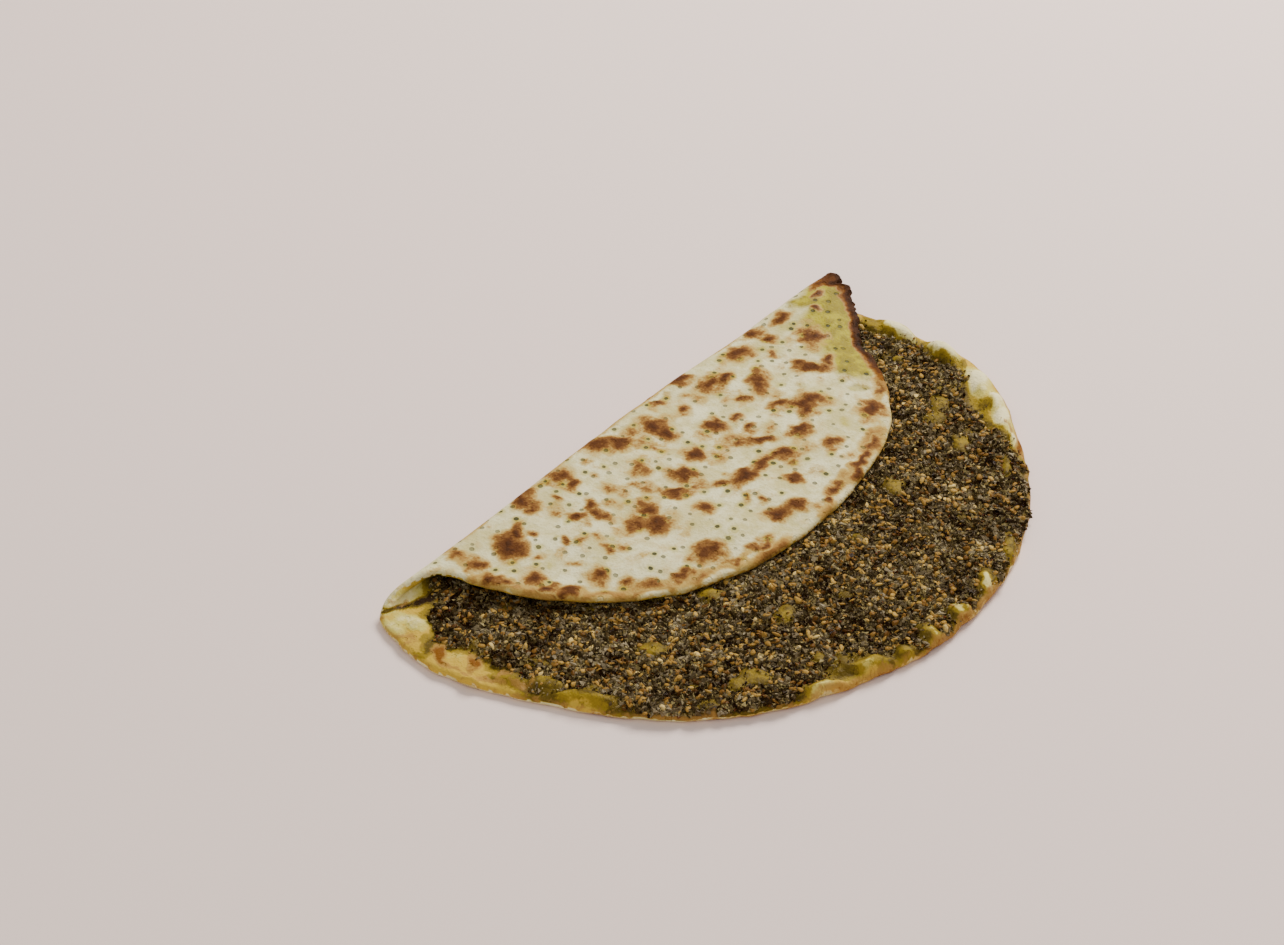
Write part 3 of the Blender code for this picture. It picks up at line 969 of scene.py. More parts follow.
@dataclass
class Sheet:
    """A closed sheet over part of the round, made from two grids that meet at its rim.

    Attributes:
        name: The piece's name.
        columns: Grid squares along the fold.
        rows: Grid squares across the fold.
        across: How closely the rows lie, as place and density pairs from -1 to 1.
        along: How closely the columns lie, the same way.
        weld: How near two points are that become one.
    """

    name: str
    columns: int
    rows: int
    across: tuple[tuple[float, float], ...]
    along: tuple[tuple[float, float], ...]
    weld: float = 0.000002

    @staticmethod
    def spaced(count: int, density: Sequence[tuple[float, float]]) -> Points:
        """Places from -1 to 1, closer together where the density is high.

        Args:
            count: How many steps lie between the places.
            density: Place and density pairs, from -1 to 1.

        Returns:
            The places, one more than the steps.
        """
        samples = 4001
        fine = np.linspace(-1.0, 1.0, samples)
        places, values = zip(*density)
        weight = np.interp(fine, places, values)
        total = np.concatenate([[0.0], np.cumsum((weight[1:] + weight[:-1]) / 2.0)])
        return np.interp(np.linspace(0.0, total[-1], count + 1), total, fine)

    def flat(self) -> tuple[Points, Points]:
        """The grid's points on a unit disc.

        Returns:
            Turns in degrees, and distances from the centre.
        """
        u, v = np.meshgrid(
            self.spaced(self.columns, self.along), self.spaced(self.rows, self.across))
        # Carry the square onto the disc, with the square's edge on the circle
        a = u * np.sqrt(1.0 - v * v / 2.0)
        b = v * np.sqrt(1.0 - u * u / 2.0)
        return np.degrees(np.arctan2(b, a)).ravel(), np.hypot(a, b).ravel()

    def build(
        self, outer: Points, inner: Points, carried: dict[str, tuple[Points, Points]]
    ) -> bpy.types.Object:
        """Make the closed sheet.

        Args:
            outer: Points of the face towards the baked skin.
            inner: Points of the face towards the topping.
            carried: What the mesh carries, by name, for the outer and the inner face.

        Returns:
            The new object.
        """
        halves = []
        for points in (outer, inner):
            bpy.ops.object.select_all(action="DESELECT")
            bpy.ops.mesh.primitive_grid_add(
                x_subdivisions=self.columns, y_subdivisions=self.rows, size=2.0)
            half = bpy.context.object
            half.data.vertices.foreach_set("co", points.astype(np.float32).ravel())
            halves.append(half)
        for name, (on_outer, on_inner) in carried.items():
            for half, values in zip(halves, (on_outer, on_inner)):
                layer = half.data.attributes.new(name, "FLOAT", "POINT")
                layer.data.foreach_set("value", values.astype(np.float32).ravel())
        # A flat grid faces up, into the bread, so the outer half is turned over
        halves[0].data.flip_normals()
        bpy.ops.object.select_all(action="DESELECT")
        for half in halves:
            half.select_set(True)
        bpy.context.view_layer.objects.active = halves[0]
        bpy.ops.object.join()
        piece = bpy.context.object
        piece.name = self.name
        piece.data.name = self.name
        bpy.ops.object.mode_set(mode="EDIT")
        bpy.ops.mesh.select_all(action="SELECT")
        bpy.ops.mesh.remove_doubles(threshold=self.weld)
        bpy.ops.object.mode_set(mode="OBJECT")
        bpy.ops.object.shade_smooth()
        return piece


@dataclass
class Cover:
    """Where the topping lies on the flat round, and how thick the dough is under it.

    Attributes:
        fold: The bread's shape.
        view: The photograph's viewpoint.
        bare: The bare rim's width by turn, in millimetres.
        puffs: How far the rim is puffed up by turn, in millimetres.
        puff_middle: How far inside the rim the puffs are highest, in millimetres.
        puff_reach: How far from there they reach, in millimetres.
        puff_lumps: How unevenly the rim is puffed up.
        swelling: How high the dough swells through the thin topping.
        scattered: The swellings that no mark gives.
        scattered_share: How far those reach up, from 0 to 1.
        dome: How high the pale puffs stand above the rest of the rim.
        dome_ends: Where the domes end, measured past the bend's start, from and to.
        rim_width: How far in the rim's rounding reaches.
        jag: The larger waves of the topping's border.
        jag_fine: The smaller waves of the topping's border.
        jag_reach: How far the larger and the smaller waves reach.
        thins: Where the topping sets in, measured from the bare rim, from and to.
    """

    fold: Fold
    view: View
    bare: Turns = Turns((
        (0, 8.0), (6, 6.0), (20, 7.0), (40, 9.0), (90, 9.0), (140, 9.0), (155, 12.0),
        (160, 17.0), (165, 20.0), (170, 21.0), (176, 17.0), (180, 11.5), (183, 10.0),
        (186, 14.0), (189, 13.0), (193, 8.0), (196, 4.5), (200, 1.5), (205, 4.0),
        (210, 2.0), (214, -3.0), (225, -3.5), (234, -2.5), (240, 3.0), (245, 6.0),
        (251, 6.0), (255, 2.0), (260, 0.8), (265, 0.8), (270, 0.6), (276, 0.4),
        (282, 0.0), (288, 0.0), (295, -1.0), (305, -1.0), (311, 1.0), (318, 5.0),
        (324, 9.5), (331, 14.0), (336, 11.0), (341, 9.5), (346, 9.0), (350, 4.5), (355, 8.0),
    ))
    puffs: Turns = Turns((
        (0, 0.8), (30, 0.3), (60, 0.6), (100, 0.4), (140, 0.5), (165, 0.2), (180, 0.5),
        (195, 0.3), (210, 0.8), (225, 0.3), (240, 0.8), (247, 1.3), (255, 1.0), (262, 1.5),
        (268, 0.7), (275, 1.6), (282, 0.5), (288, 1.3), (300, 0.3), (312, 0.6), (322, 1.8),
        (331, 2.4), (340, 1.6), (345, 2.0), (350, 0.6), (355, 1.6),
    ))
    puff_middle: float = 6.5
    puff_reach: float = 7.5
    puff_lumps: Lumps = Lumps(0.010, 21)
    swelling: float = 0.0021
    scattered: Lumps = Lumps(0.0105, 13)
    scattered_share: float = 0.75
    dome: float = 0.0019
    dome_ends: tuple[float, float] = (-0.020, -0.006)
    rim_width: float = 0.0021
    jag: Lumps = Lumps(0.0065, 11)
    jag_fine: Lumps = Lumps(0.0024, 12)
    jag_reach: tuple[float, float] = (0.006, 0.004)
    thins: tuple[float, float] = (-0.0012, 0.0040)

    def patches(self, x: Points, s: Points) -> Points:
        """How far the dough swells up where the topping is thin.

        Args:
            x: Places along the fold.
            s: Places across the fold.

        Returns:
            Numbers from 0 to 1.
        """
        place = self.fold.sheet(x, s, self.fold.dough + 0.0 * x)
        marked = strongest(BARE_PATCHES, self.view.pixels(place), 0.2, 1.7)
        open_side = 1.0 - ramp(self.fold.past_bend(x, s), -0.004, 0.004)
        rough = 0.5 * (self.jag_fine(x, s) - 0.5) + 0.4 * (self.jag(x, s) - 0.5)
        read = ramp(marked + rough, 0.05, 0.65) * (marked > 0.02)
        scattered = self.scattered_share * ramp(self.scattered(x, s), 0.76, 0.96)
        return np.maximum(read, scattered) * open_side

    def dough_depth(self, x: Points, s: Points) -> Points:
        """The dough's thickness, with its puffed rim and its swellings.

        Args:
            x: Places along the fold.
            s: Places across the fold.

        Returns:
            Thicknesses.
        """
        turn, _ = self.fold.turn_and_reach(x, s)
        inside = self.fold.from_rim(x, s)
        off_middle = np.abs(inside / MM - self.puff_middle)
        across = np.clip(1.0 - off_middle / self.puff_reach, 0.0, 1.0)
        puff = self.puffs(turn) * ramp(across, 0.0, 1.0)
        lump = 0.6 + 0.8 * self.puff_lumps(x, s)
        place = self.fold.sheet(x, s, self.fold.dough + 0.5 * puff)
        puffed = strongest(PALE_PUFFS, self.view.pixels(place), 0.0, 1.35)
        lower = 1.0 - ramp(self.fold.past_bend(x, s), *self.dome_ends)
        dome = self.dome * ramp(puffed, 0.0, 0.75) * lower
        return self.fold.dough + puff * lump + dome + self.swelling * self.patches(x, s)

    def amount(self, x: Points, s: Points) -> Points:
        """How much topping lies at a place.

        Args:
            x: Places along the fold.
            s: Places across the fold.

        Returns:
            Numbers from 0 to 1.
        """
        turn, _ = self.fold.turn_and_reach(x, s)
        large, small = self.jag_reach
        jag = (self.jag(x, s) - 0.5) * large + (self.jag_fine(x, s) - 0.5) * small
        inside = self.fold.from_rim(x, s) - self.bare(turn) + jag
        return ramp(inside, *self.thins) * (1.0 - 0.95 * self.patches(x, s))

    def rounding(self, inside: Points) -> Points:
        """How far the dough has its full thickness, from 0 at the rim to 1 inside it."""
        near = np.clip(1.0 - inside / self.rim_width, 0.0, 1.0)
        return np.sqrt(np.clip(1.0 - near * near, 0.0, 1.0))

    def top(self, x: Points, s: Points) -> Points:
        """The depth of the dough's topped face, which comes down at the rim."""
        thick = self.dough_depth(x, s)
        return thick * (0.5 + 0.5 * self.rounding(self.fold.from_rim(x, s)))

    def to_topping(self, x: Points, s: Points) -> Points:
        """How far outside the topping a place lies, or below 0 inside it."""
        turn, _ = self.fold.turn_and_reach(x, s)
        return self.bare(turn) - self.fold.from_rim(x, s)


@dataclass
class Bread:
    """The folded round of dough.

    Attributes:
        fold: The bread's shape.
        view: The photograph's viewpoint.
        cover: Where the topping lies.
        columns: Grid squares along the fold.
        rows: Grid squares across the fold.
        ragged: How uneven the rim is.
        burnt_ragged: How uneven the burnt rim is.
        burnt_turns: Where the rim is burnt, from and to, in degrees.
        crack_turn: Where the burnt rim is cracked, in degrees.
        crack_width: Half the crack's width, in degrees.
        crack_depth: How far in the crack reaches.
        loose_rim: The share of the radius where the ragged rim sets in, from and to.
        tongue_turn: The bare left tip's turn, in degrees.
        tongue_width: Half the tip's width, where it is bare and where it ends, in degrees.
        front_turns: Where the oily front rim starts and where it ends, each from and to.
        bend_at: How far past the bend's start its toasted middle lies.
        bend_width: How far from there the toast reaches, from and to.
        pale_roll: Where along the fold the pale roll at its left end stops, from and to.
        hidden_count: How many spots the skin has that the photograph doesn't show.
        hidden_size: Half their length and width, from and to.
        spot_rise: How far the browned spots stand up.
        skin_relief: How far the skin's larger and smaller waves reach.
        crumb_relief: How far the topped side's larger and smaller waves reach.
        crust_relief: How far the burnt crust's blisters reach.
        finish: The dough's finish.
    """

    fold: Fold
    view: View
    cover: Cover
    columns: int = 236
    rows: int = 200
    ragged: float = 0.0009
    burnt_ragged: float = 0.0020
    burnt_turns: tuple[float, float] = (8.0, 46.0)
    crack_turn: float = 20.6
    crack_width: float = 0.9
    crack_depth: float = 0.0042
    loose_rim: tuple[float, float] = (0.86, 1.0)
    tongue_turn: float = 160.0
    tongue_width: tuple[float, float] = (8.0, 16.0)
    front_turns: tuple[tuple[float, float], ...] = ((184.0, 194.0), (300.0, 312.0))
    bend_at: float = 0.011
    bend_width: tuple[float, float] = (0.001, 0.007)
    pale_roll: tuple[float, float] = (-0.112, -0.090)
    hidden_count: int = 90
    hidden_size: tuple[float, float] = (0.0022, 0.0068)
    spot_rise: float = 0.00035
    skin_relief: tuple[float, float] = (0.0009, 0.0005)
    crumb_relief: tuple[float, float] = (0.0006, 0.0003)
    crust_relief: float = 0.0011
    finish: DoughFinish = field(default_factory=DoughFinish)

    def burnt_side(self, turn: Points) -> Points:
        """How near a turn is to the burnt corner.

        Args:
            turn: Turns in degrees.

        Returns:
            Numbers from 0 to 1.
        """
        low, high = self.burnt_turns
        turn = (turn + 180.0) % 360.0 - 180.0
        return ramp(turn, low - 8.0, low + 4.0) * (1.0 - ramp(turn, high - 8.0, high + 6.0))

    def lay_out(self, turn: Points, reach: Points) -> tuple[Points, Points, Points]:
        """Place the unit disc's points on the flat round.

        Args:
            turn: Turns in degrees.
            reach: Distances from the centre, from 0 to 1.

        Returns:
            The places x and s, and how far inside the rim they lie.
        """
        radius = self.fold.rim_radius(turn)
        edge_x = radius * np.cos(np.radians(turn))
        edge_s = radius * np.sin(np.radians(turn))
        jag = Lumps(0.0075, 31)(edge_x, edge_s) + 0.6 * Lumps(0.0032, 32)(edge_x, edge_s) - 0.8
        fray = Lumps(0.0045, 33)(edge_x, edge_s) + 0.8 * Lumps(0.0018, 34)(edge_x, edge_s) - 0.9
        burnt = self.burnt_side(turn)
        change = self.ragged * jag * (1.0 - burnt) + self.burnt_ragged * fray * burnt
        notch = np.clip(1.0 - np.abs(turn - self.crack_turn) / self.crack_width, 0.0, 1.0)
        change = change - self.crack_depth * notch
        # Only the round's outer part gives way to the ragged rim
        radius = radius + change * ramp(reach, *self.loose_rim)
        return *self.fold.place(turn, reach * radius), radius * (1.0 - reach)

    def warped(self, points: Points, x: Points, s: Points) -> Points:
        """Where points show in the photograph, pushed about so that marks come out uneven.

        Args:
            points: The points.
            x: Their places along the fold.
            s: Their places across the fold.

        Returns:
            Pixels across and down, on the last axis.
        """
        across = 9.0 * (Lumps(0.0062, 41)(x, s) - 0.5) + 6.0 * (Lumps(0.0028, 42)(x, s) - 0.5)
        down = 7.0 * (Lumps(0.0062, 43)(x, s) - 0.5) + 5.0 * (Lumps(0.0028, 44)(x, s) - 0.5)
        return self.view.pixels(points) + np.stack([across, down], axis=-1)

    def hidden_spots(self, x: Points, s: Points) -> Points:
        """Spots for the skin that the photograph doesn't show.

        Args:
            x: Places along the fold.
            s: Places across the fold.

        Returns:
            Numbers from 0 to 1.
        """
        draw = np.random.default_rng(43)
        x = x + 0.004 * (Lumps(0.0062, 47)(x, s) - 0.5)
        s = s + 0.004 * (Lumps(0.0062, 48)(x, s) - 0.5)
        radius = self.fold.radius
        result = np.zeros(x.shape)
        for _ in range(self.hidden_count):
            at = draw.uniform(-radius, radius, 2) + np.array(self.fold.centre)
            size = draw.uniform(*self.hidden_size, 2)
            a = draw.uniform(0.0, math.pi)
            strength = draw.uniform(0.45, 1.0)
            u = ((x - at[0]) * math.cos(a) + (s - at[1]) * math.sin(a)) / size[0]
            v = ((s - at[1]) * math.cos(a) - (x - at[0]) * math.sin(a)) / size[1]
            result = np.maximum(result, strength * (1.0 - np.hypot(u, v) / 1.9))
        return np.clip(result, 0.0, 1.0)

    def skin_marks(self, x: Points, s: Points, inside: Points) -> dict[str, Points]:
        """What the baked side carries: spots, oil, the toasted rim and the burnt corner.

        Args:
            x: Places along the fold.
            s: Places across the fold.
            inside: How far inside the rim they lie.

        Returns:
            The values, by the name that the material reads.
        """
        turn, _ = self.fold.turn_and_reach(x, s)
        past = self.fold.past_bend(x, s)
        pixels = self.warped(self.fold.skin(x, s), x, s)
        shown = ramp(past, 0.0055, 0.0075)
        char = strongest(SPOTS, pixels, 0.0, 2.05) * shown
        char = np.maximum(char, self.hidden_spots(x, s) * (1.0 - shown))
        oil = strongest(OIL_STAINS, pixels, 0.5, 1.5) * shown
        edge = 1.0 - ramp(inside, 0.0010, 0.0058)
        patch = ramp(Lumps(0.013, 45)(x, s), 0.30, 0.72)
        toast = edge * (0.15 + 0.85 * patch) * (1.0 - 0.5 * ramp(oil, 0.3, 0.8))
        toast = np.maximum(toast, (0.30 + 0.30 * patch) * (1.0 - ramp(inside, 0.0, 0.0022)))
        bend = 1.0 - ramp(np.abs(past - self.bend_at), *self.bend_width)
        toast = np.maximum(toast, 0.65 * bend * ramp(Lumps(0.014, 49)(x, s), 0.35, 0.75))
        toast = toast * (0.25 + 0.75 * ramp(x, *self.pale_roll))
        golden = strongest(FLAP_TOAST, pixels, 0.3, 1.5) * shown
        toast = np.maximum(toast, golden)
        burnt = self.burnt_side(turn) * (1.0 - ramp(inside, 0.0012, 0.0046))
        lips = strongest(BURNT_LIPS, pixels, 0.3, 1.6) * ramp(past, 0.004, 0.008)
        burnt = np.maximum(burnt, lips)
        burnt = burnt + 0.22 * self.burnt_side(turn) * (1.0 - ramp(inside, 0.0022, 0.0062))
        none = np.zeros(x.shape)
        return {"crumb": none, "char": char, "oil": oil, "toast": toast, "burnt": burnt,
                "pale": none, "along": x, "across": s, "middle": ramp(inside, 0.0028, 0.0045)}

    def crumb_marks(self, x: Points, s: Points, inside: Points) -> dict[str, Points]:
        """What the topped side carries: oil round the topping, pale puffs, browning and painted
        shade where the fold's layers part.

        Args:
            x: Places along the fold.
            s: Places across the fold.
            inside: How far inside the rim they lie.

        Returns:
            The values, by the name that the material reads.
        """
        turn, _ = self.fold.turn_and_reach(x, s)
        place = self.fold.sheet(x, s, self.fold.dough + 0.0 * x)
        pixels = self.warped(place, x, s)
        open_side = 1.0 - ramp(self.fold.past_bend(x, s), 0.010, 0.014)
        pale = strongest(PALE_PUFFS, pixels, 0.5, 1.5) * open_side
        soaked = 1.0 - ramp(self.cover.to_topping(x, s), -0.002, 0.0050)
        oil = np.maximum(strongest(RIM_OIL, pixels, 0.4, 1.5) * open_side, 0.92 * soaked)
        tongue = 1.0 - ramp(np.abs(turn - self.tongue_turn), *self.tongue_width)
        oil = oil * (1.0 - 0.55 * tongue)
        oil = oil * (1.0 - 0.85 * ramp(pale, 0.2, 0.7))
        wet = 0.45 + 0.55 * Lumps(0.012, 50)(x, s)
        wet = wet + 0.4 * (1.0 - ramp(self.cover.bare(turn), 0.0, 0.003))
        starts, ends = self.front_turns
        front = (ramp(turn, *starts) - ramp(turn, *ends)) * wet
        front = front * (1.0 - ramp(pale, 0.2, 0.7))
        oil = np.maximum(oil, front)
        golden = strongest(SWELLINGS, pixels, 0.3, 1.4) * open_side
        oil = oil * (1.0 - 0.25 * golden)
        # Painted shade of the fold's left end, carried in the oil value
        oil = np.maximum(oil, strongest(PAINTED_CREASE_SHADE, self.view.pixels(place), 0.6, 1.6))
        toast = strongest(RIM_TOAST, pixels, 0.2, 1.6) * open_side
        edge = (1.0 - ramp(inside, 0.0, 0.0030)) * (0.1 + 0.5 * Lumps(0.014, 46)(x, s))
        toast = np.maximum(toast, edge * (1.0 - tongue) * (1.0 - 0.7 * front))
        burnt = self.burnt_side(turn) * (1.0 - ramp(inside, 0.001, 0.004))
        none = np.zeros(x.shape)
        return {"crumb": none + 1.0, "char": none, "oil": oil, "toast": toast, "burnt": burnt,
                "pale": pale, "along": x, "across": s, "middle": none}

    def build(self, shift: Points) -> bpy.types.Object:
        """Shape and dress the round.

        Args:
            shift: What brings the fold's frame to the part's origin.

        Returns:
            The finished piece.
        """
        edge = ((-1.0, 4.0), (-0.984, 3.0), (-0.96, 1.0))
        sheet = Sheet(
            "FoldedDough", self.columns, self.rows,
            (*edge[:2], (-0.96, 0.9), (-0.8, 0.6), (0.0, 0.6), (0.12, 1.3), (0.3, 1.1),
             (0.96, 1.0), (0.984, 3.0), (1.0, 4.0)),
            (*edge, (0.96, 1.0), (0.984, 3.0), (1.0, 4.0)))
        x, s, inside = self.lay_out(*sheet.flat())
        thick = self.cover.dough_depth(x, s)
        # The rim is a half round that both faces come down to
        cap = self.cover.rounding(inside)
        middle = thick / 2.0
        outside = self.skin_marks(x, s, inside)
        topped = self.crumb_marks(x, s, inside)
        flap = ramp(self.fold.past_bend(x, s), 0.006, 0.020)
        large, small = self.skin_relief
        rise = self.spot_rise * ramp(outside["char"], 0.3, 0.8)
        rise = rise + large * (Lumps(0.018, 51)(x, s) - 0.5)
        rise = rise + small * (Lumps(0.007, 52)(x, s) - 0.5)
        blisters = Lumps(0.0024, 53)(x, s) - 0.3
        crust = self.crust_relief * ramp(outside["burnt"], 0.3, 0.9) * blisters
        skin_depth = middle * (1.0 - cap) - flap * cap * rise - crust * cap
        large, small = self.crumb_relief
        crumb = large * (Lumps(0.008, 54)(x, s) - 0.5) + small * (Lumps(0.003, 55)(x, s) - 0.5)
        crumb_depth = middle + (thick - middle + crumb) * cap
        outer = self.fold.sheet(x, s, skin_depth) + shift
        inner = self.fold.sheet(x, s, crumb_depth) + shift
        outer[:, 2] = np.maximum(outer[:, 2], 0.0)
        carried = {name: (outside[name], topped[name]) for name in outside}
        piece = sheet.build(outer, inner, carried)
        piece.data.materials.clear()
        piece.data.materials.append(self.finish.make())
        return piece


class Form(Enum):
    """The shapes of the small bits."""

    SEED = "a flat seed with one pointed end"
    SCRAP = "a torn scrap of leaf"
    GRIT = "a crumb of ground leaf"


@dataclass
class Bits:
    """Many copies of one small shape, joined in one mesh.

    Attributes:
        name: The piece's name.
        kind: The finish.
        form: The shape.
        size: Length, width and height of one bit.
        spread: How much the sizes vary, as a share.
        tilt: How far a bit leans, in degrees.
        lift: How high its middle lies above the layer, from and to.
        torn: How far the corners of torn leaf are out of place, as a share of its width.
    """

    name: str
    kind: Herb
    form: Form
    size: tuple[float, float, float]
    spread: float
    tilt: float
    lift: tuple[float, float]
    torn: float = 0.16

    def shape(self) -> tuple[Points, list[tuple[int, ...]]]:
        """One bit about a unit long.

        Returns:
            Its points and its faces.
        """
        bpy.ops.object.select_all(action="DESELECT")
        if self.form is Form.SEED:
            bpy.ops.mesh.primitive_uv_sphere_add(segments=8, ring_count=5, radius=0.5)
        elif self.form is Form.SCRAP:
            bpy.ops.mesh.primitive_cone_add(vertices=3, radius1=0.6, radius2=0.42, depth=1.0)
        else:
            bpy.ops.mesh.primitive_cone_add(vertices=3, radius1=0.6, radius2=0.0, depth=1.0)
        start = bpy.context.object
        points = np.array([v.co[:] for v in start.data.vertices])
        # A new sphere's faces come in an order that varies from run to run
        faces = sorted(tuple(face.vertices) for face in start.data.polygons)
        bpy.data.objects.remove(start)
        if self.form is Form.SEED:
            long = points[:, 2]
            narrow = 1.0 - 0.6 * long - 0.3 * np.maximum(long, 0.0)
            points = np.stack([long, points[:, 0] * narrow, points[:, 1] * narrow], axis=-1)
        return points, faces

    def build(
        self, places: Points, normals: Points, tones: Points, scales: Points,
        draw: np.random.Generator
    ) -> bpy.types.Object:
        """Lay one bit at each place.

        Args:
            places: Where the bits lie.
            normals: The way up at each place.
            tones: Each bit's tone, from 0 to 1.
            scales: Each bit's size, as a share of the usual size.
            draw: Where the random numbers come from.

        Returns:
            The joined piece.
        """
        shape, faces = self.shape()
        count = len(places)
        lean = math.tan(math.radians(self.tilt))
        up = normals + lean * draw.normal(0.0, 0.6, (count, 3))
        up /= np.linalg.norm(up, axis=1, keepdims=True)
        along = np.cross(up, draw.normal(0.0, 1.0, (count, 3)))
        along /= np.linalg.norm(along, axis=1, keepdims=True)
        side = np.cross(up, along)
        sizes = np.array(self.size) * draw.uniform(
            1.0 - self.spread, 1.0 + self.spread, (count, 3)) * scales[:, None]
        axes = np.stack([along, side, up], axis=1) * sizes[:, :, None]
        points = np.einsum("vk,nkc->nvc", shape, axes)
        if self.form is not Form.SEED:
            # Torn leaf has no two corners alike
            points = points + draw.normal(0.0, self.torn, points.shape) * sizes[:, None, 1:2]
        lift = draw.uniform(*self.lift, count)[:, None]
        points = points + (places + normals * lift)[:, None, :]
        corners = len(shape)
        all_faces = [
            tuple(corner + i * corners for corner in face)
            for i in range(count) for face in faces]
        mesh = bpy.data.meshes.new(self.name)
        mesh.from_pydata(points.reshape(-1, 3), [], all_faces)
        layer = mesh.attributes.new("tone", "FLOAT", "POINT")
        layer.data.foreach_set("value", np.repeat(tones, corners).astype(np.float32))
        if self.form is Form.SEED:
            mesh.shade_smooth()
        mesh.materials.append(self.kind.value.make())
        piece = bpy.data.objects.new(self.name, mesh)
        bpy.context.scene.collection.objects.link(piece)
        return piece


@dataclass(frozen=True)
class Sprinkle:
    """How one kind of bit is strewn.

    Attributes:
        bits: What is strewn.
        count: How many.
        seed: Which random places.
        gather: How strongly the bits keep to where the topping is thick.
        tone: The two shape numbers of the tones' spread.
        strays: The share that lands on bare dough.
    """

    bits: Bits
    count: int
    seed: int
    gather: float
    tone: tuple[float, float]
    strays: float


SPRINKLES = (
    Sprinkle(Bits("HerbLeaves", Herb.LEAF, Form.SCRAP, (0.0021, 0.0016, 0.0010), 0.50, 50.0,
                  (-0.0003, 0.0006)), 18000, 71, 1.0, (1.15, 1.7), 0.002),
    Sprinkle(Bits("HerbGrit", Herb.PASTE, Form.GRIT, (0.0014, 0.0012, 0.0011), 0.50, 80.0,
                  (-0.0003, 0.0006)), 32000, 72, 1.1, (1.2, 1.8), 0.005),
    Sprinkle(Bits("SesameSeeds", Herb.SEED, Form.SEED, (0.0032, 0.0020, 0.0011), 0.15, 34.0,
                  (-0.0002, 0.0008)), 2700, 73, 1.0, (1.9, 2.4), 0.002),
    Sprinkle(Bits("SumacBits", Herb.SUMAC, Form.SCRAP, (0.0013, 0.0009, 0.0006), 0.4, 40.0,
                  (0.0, 0.0003)), 1900, 74, 0.8, (2.0, 2.0), 0.003),
)


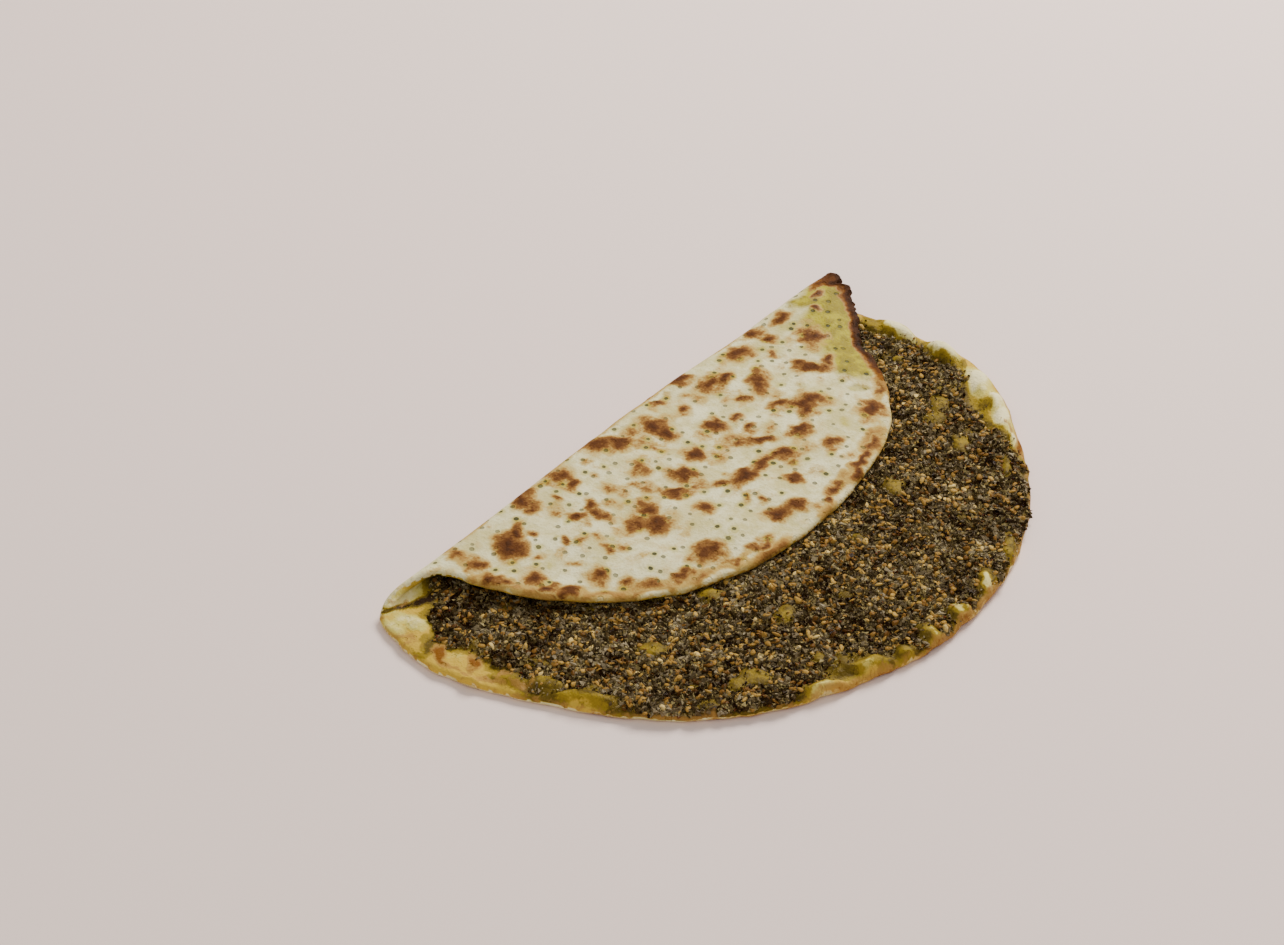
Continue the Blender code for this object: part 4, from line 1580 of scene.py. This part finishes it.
@dataclass
class Topping:
    """The herbs and sesame: a crumbly layer, and the bits that lie on it.

    Attributes:
        fold: The bread's shape.
        cover: Where the topping lies.
        columns: Grid squares along the fold.
        rows: Grid squares across the fold.
        thickness: The layer's usual thickness.
        clumps: How much the layer's thickness varies.
        sunk: How deep the layer ends in the dough where there is no topping.
        buried: How far the layer's lower face lies inside the dough.
        tucked: How far the layer reaches out under the bare rim.
        rim_gap: How far inside the round's rim it ends at least.
        reach_under_flap: How far in under the flap bits are strewn.
        pocket: Where past the bend's start the open pocket at the left end lies, from and to.
        pocket_end: Where along the fold the pocket ends.
        stray_reach: How far outside the topping a stray bit may lie.
        off_rim: How far inside the round's rim every bit lies.
        tries: How many places are tried for each bit.
        broad_tones: Light and dark patches of the topping.
        narrow_tones: Light and dark clumps of the topping.
        painted_shadow_depth: How much darker the bits are painted where the flap's shadow falls.
    """

    fold: Fold
    cover: Cover
    columns: int = 224
    rows: int = 196
    thickness: float = 0.0009
    clumps: float = 0.0014
    sunk: float = 0.0005
    buried: float = 0.0009
    tucked: float = 0.003
    rim_gap: float = 0.0004
    reach_under_flap: float = 0.012
    pocket: tuple[float, float] = (-0.012, 0.011)
    pocket_end: float = -0.095
    stray_reach: float = 0.0035
    off_rim: float = 0.0002
    quick_share: float = 0.35
    tries: int = 4
    broad_tones: Lumps = Lumps(0.013, 75)
    narrow_tones: Lumps = Lumps(0.0034, 76)
    painted_shadow_depth: float = 0.36

    def height(self, x: Points, s: Points) -> Points:
        """How high the layer's upper face stands above the dough.

        Args:
            x: Places along the fold.
            s: Places across the fold.

        Returns:
            Heights, below 0 where there is no topping.
        """
        rough = Lumps(0.0042, 61)(x, s) + 0.8 * Lumps(0.0022, 62)(x, s) - 0.9
        folded = ramp(self.fold.past_bend(x, s), -0.004, 0.002)
        height = self.thickness + self.clumps * rough * (1.0 - 0.8 * folded)
        amount = self.cover.amount(x, s)
        return height * amount - self.sunk * (1.0 - amount)

    def layer(self, shift: Points) -> bpy.types.Object:
        """The crumbly layer that runs through the fold.

        Args:
            shift: What brings the fold's frame to the part's origin.

        Returns:
            The finished piece.
        """
        sheet = Sheet(
            "HerbLayer", self.columns, self.rows,
            ((-1.0, 2.0), (-0.96, 1.1), (-0.1, 1.1), (0.1, 1.2), (0.3, 0.7), (1.0, 0.9)),
            ((-1.0, 2.0), (-0.96, 1.0), (0.96, 1.0), (1.0, 2.0)))
        turn, reach = sheet.flat()
        bare = np.maximum(self.cover.bare(turn) - self.tucked, self.rim_gap)
        x, s = self.fold.place(turn, reach * (self.fold.rim_radius(turn) - bare))
        rim = 1.0 - ramp(reach, 0.990, 1.0)
        below = self.cover.top(x, s) - self.buried
        above = below + (self.buried + self.height(x, s)) * rim
        outer = self.fold.sheet(x, s, below) + shift
        inner = self.fold.sheet(x, s, above) + shift
        thin = 1.0 - self.cover.amount(x, s)
        piece = sheet.build(outer, inner, {"thin": (thin, thin)})
        piece.data.materials.clear()
        piece.data.materials.append(LayerFinish().make())
        return piece

    def strew(self, sprinkle: Sprinkle, shift: Points) -> bpy.types.Object:
        """Lay one kind of bit on the open topping.

        Args:
            sprinkle: What to lay, and how.
            shift: What brings the fold's frame to the part's origin.

        Returns:
            The joined piece.
        """
        draw = np.random.default_rng(sprinkle.seed)
        count = int(sprinkle.count * (1.0))
        tried = self.tries * count
        reach = self.fold.radius * 1.06
        x = self.fold.centre[0] + draw.uniform(-reach, reach, tried)
        s = self.fold.centre[1] + draw.uniform(-reach, reach, tried)
        past = self.fold.past_bend(x, s)
        lower = (past < 0.0) & (self.fold.under_flap(x, s) < self.reach_under_flap)
        pocket = (past > self.pocket[0]) & (past < self.pocket[1]) & (x < self.pocket_end)
        chance = self.cover.amount(x, s) ** sprinkle.gather
        keep = (lower | pocket) & (self.fold.from_rim(x, s) > self.off_rim)
        near = self.cover.to_topping(x, s) < self.stray_reach
        keep &= draw.random(len(x)) < chance + sprinkle.strays * near
        x, s = x[keep][:count], s[keep][:count]
        LOG.info("%s: %d of %d places used", sprinkle.bits.name, len(x), int(keep.sum()))
        depth = self.cover.top(x, s) + np.maximum(self.height(x, s), 0.0)
        places = self.fold.sheet(x, s, depth) + shift
        normals = self.fold.inward(x, s)
        clumps = 0.25 * self.broad_tones(x, s) + 0.55 * self.narrow_tones(x, s) - 0.37
        # Painted shadow of the flap, along its rim and in the pocket at its left end, makes the
        # bits' tones darker
        soaked = strongest(PAINTED_SHADOW_TOPPING, self.cover.view.pixels(places - shift), 0.3, 1.4)
        tones = draw.beta(*sprinkle.tone, len(x)) + clumps - self.painted_shadow_depth * soaked
        # Where the topping thins out, only small bits lie
        scales = 0.5 + 0.5 * ramp(self.cover.amount(x, s), 0.1, 0.8)
        return sprinkle.bits.build(places, normals, tones, scales, draw)

    def build(self, shift: Points) -> list[bpy.types.Object]:
        """Build the layer and everything that lies on it."""
        return [self.layer(shift)] + [self.strew(sprinkle, shift) for sprinkle in SPRINKLES]


@dataclass
class Studio:
    """A pale floor, soft light and the camera.

    Attributes:
        view: The photograph's viewpoint.
        floor: The floor's colour.
        floor_size: The floor's side.
        floor_drop: How far the floor lies below the bread.
        sky: The strength of the light from all round.
        sky_colour: Its colour.
    """

    view: View
    floor: Colour = (0.93, 0.74, 0.66)
    floor_size: float = 12.0
    floor_drop: float = 0.0002
    sky: float = 0.49
    sky_colour: Colour = (1.0, 0.985, 0.97)

    def build(self, shift: Points) -> None:
        """Set up the floor, the lights and the camera.

        Args:
            shift: What brings the fold's frame to the part's origin.
        """
        bpy.ops.object.select_all(action="DESELECT")
        bpy.ops.mesh.primitive_plane_add(
            size=self.floor_size, location=(0.0, 0.0, -self.floor_drop))
        floor = bpy.context.object
        floor.name = "Floor"
        shader = Shader("pale floor", Roughness=0.85)
        shader.surface.inputs["Base Color"].default_value = (*self.floor, 1.0)
        floor.data.materials.append(shader.material)
        self.light("Key", (1.25, 0.25, 1.20), 0.7, 46.0, (1.0, 0.975, 0.94))
        self.light("Fill", (-1.3, -0.7, 1.3), 1.8, 10.0, (0.95, 0.97, 1.0))
        world = bpy.context.scene.world or bpy.data.worlds.new("World")
        bpy.context.scene.world = world
        world.use_nodes = True
        back = world.node_tree.nodes["Background"]
        back.inputs["Color"].default_value = (*self.sky_colour, 1.0)
        back.inputs["Strength"].default_value = self.sky
        camera_data = bpy.data.cameras.new("Camera")
        camera_data.lens = self.view.focal / self.view.width * self.view.sensor
        camera_data.sensor_width = self.view.sensor
        camera_data.clip_start = 0.05
        camera = bpy.data.objects.new("Camera", camera_data)
        bpy.context.scene.collection.objects.link(camera)
        camera.location = Vector(self.view.place) + Vector(shift)
        camera.rotation_euler = (
            math.radians(90.0 - self.view.down), 0.0, math.radians(self.view.heading))
        bpy.context.scene.camera = camera

    def light(
        self, name: str, place: tuple[float, float, float], size: float, power: float,
        colour: Colour
    ) -> None:
        """Add a soft light that points at the bread.

        Args:
            name: The light's name.
            place: Where it hangs.
            size: Its side.
            power: Its power in watts.
            colour: Its colour.
        """
        data = bpy.data.lights.new(name, "AREA")
        data.energy = power
        data.size = size
        data.color = colour
        lamp = bpy.data.objects.new(name, data)
        bpy.context.scene.collection.objects.link(lamp)
        lamp.location = place
        lamp.rotation_euler = (-Vector(place)).to_track_quat("-Z", "Y").to_euler()


def main() -> None:
    """Dress the bread and report each piece."""
    logging.basicConfig(level=logging.INFO, format="%(name)s: %(message)s")
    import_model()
    fold, view = Fold(), View()
    shift = np.array([-fold.middle[0], -fold.middle[1], 0.0])
    cover = Cover(fold, view)
    dough = Bread(fold, view, cover).build(shift)
    topping = Topping(fold, cover).build(shift)
    for piece, node in [(dough, "dough")] + [(piece, "zaatar") for piece in topping]:
        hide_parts(node)
        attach(piece, "root")
        LOG.info("%s has %d faces", piece.name, len(piece.data.polygons))
    Studio(view).build(shift)


if __name__ == "__main__":
    main()
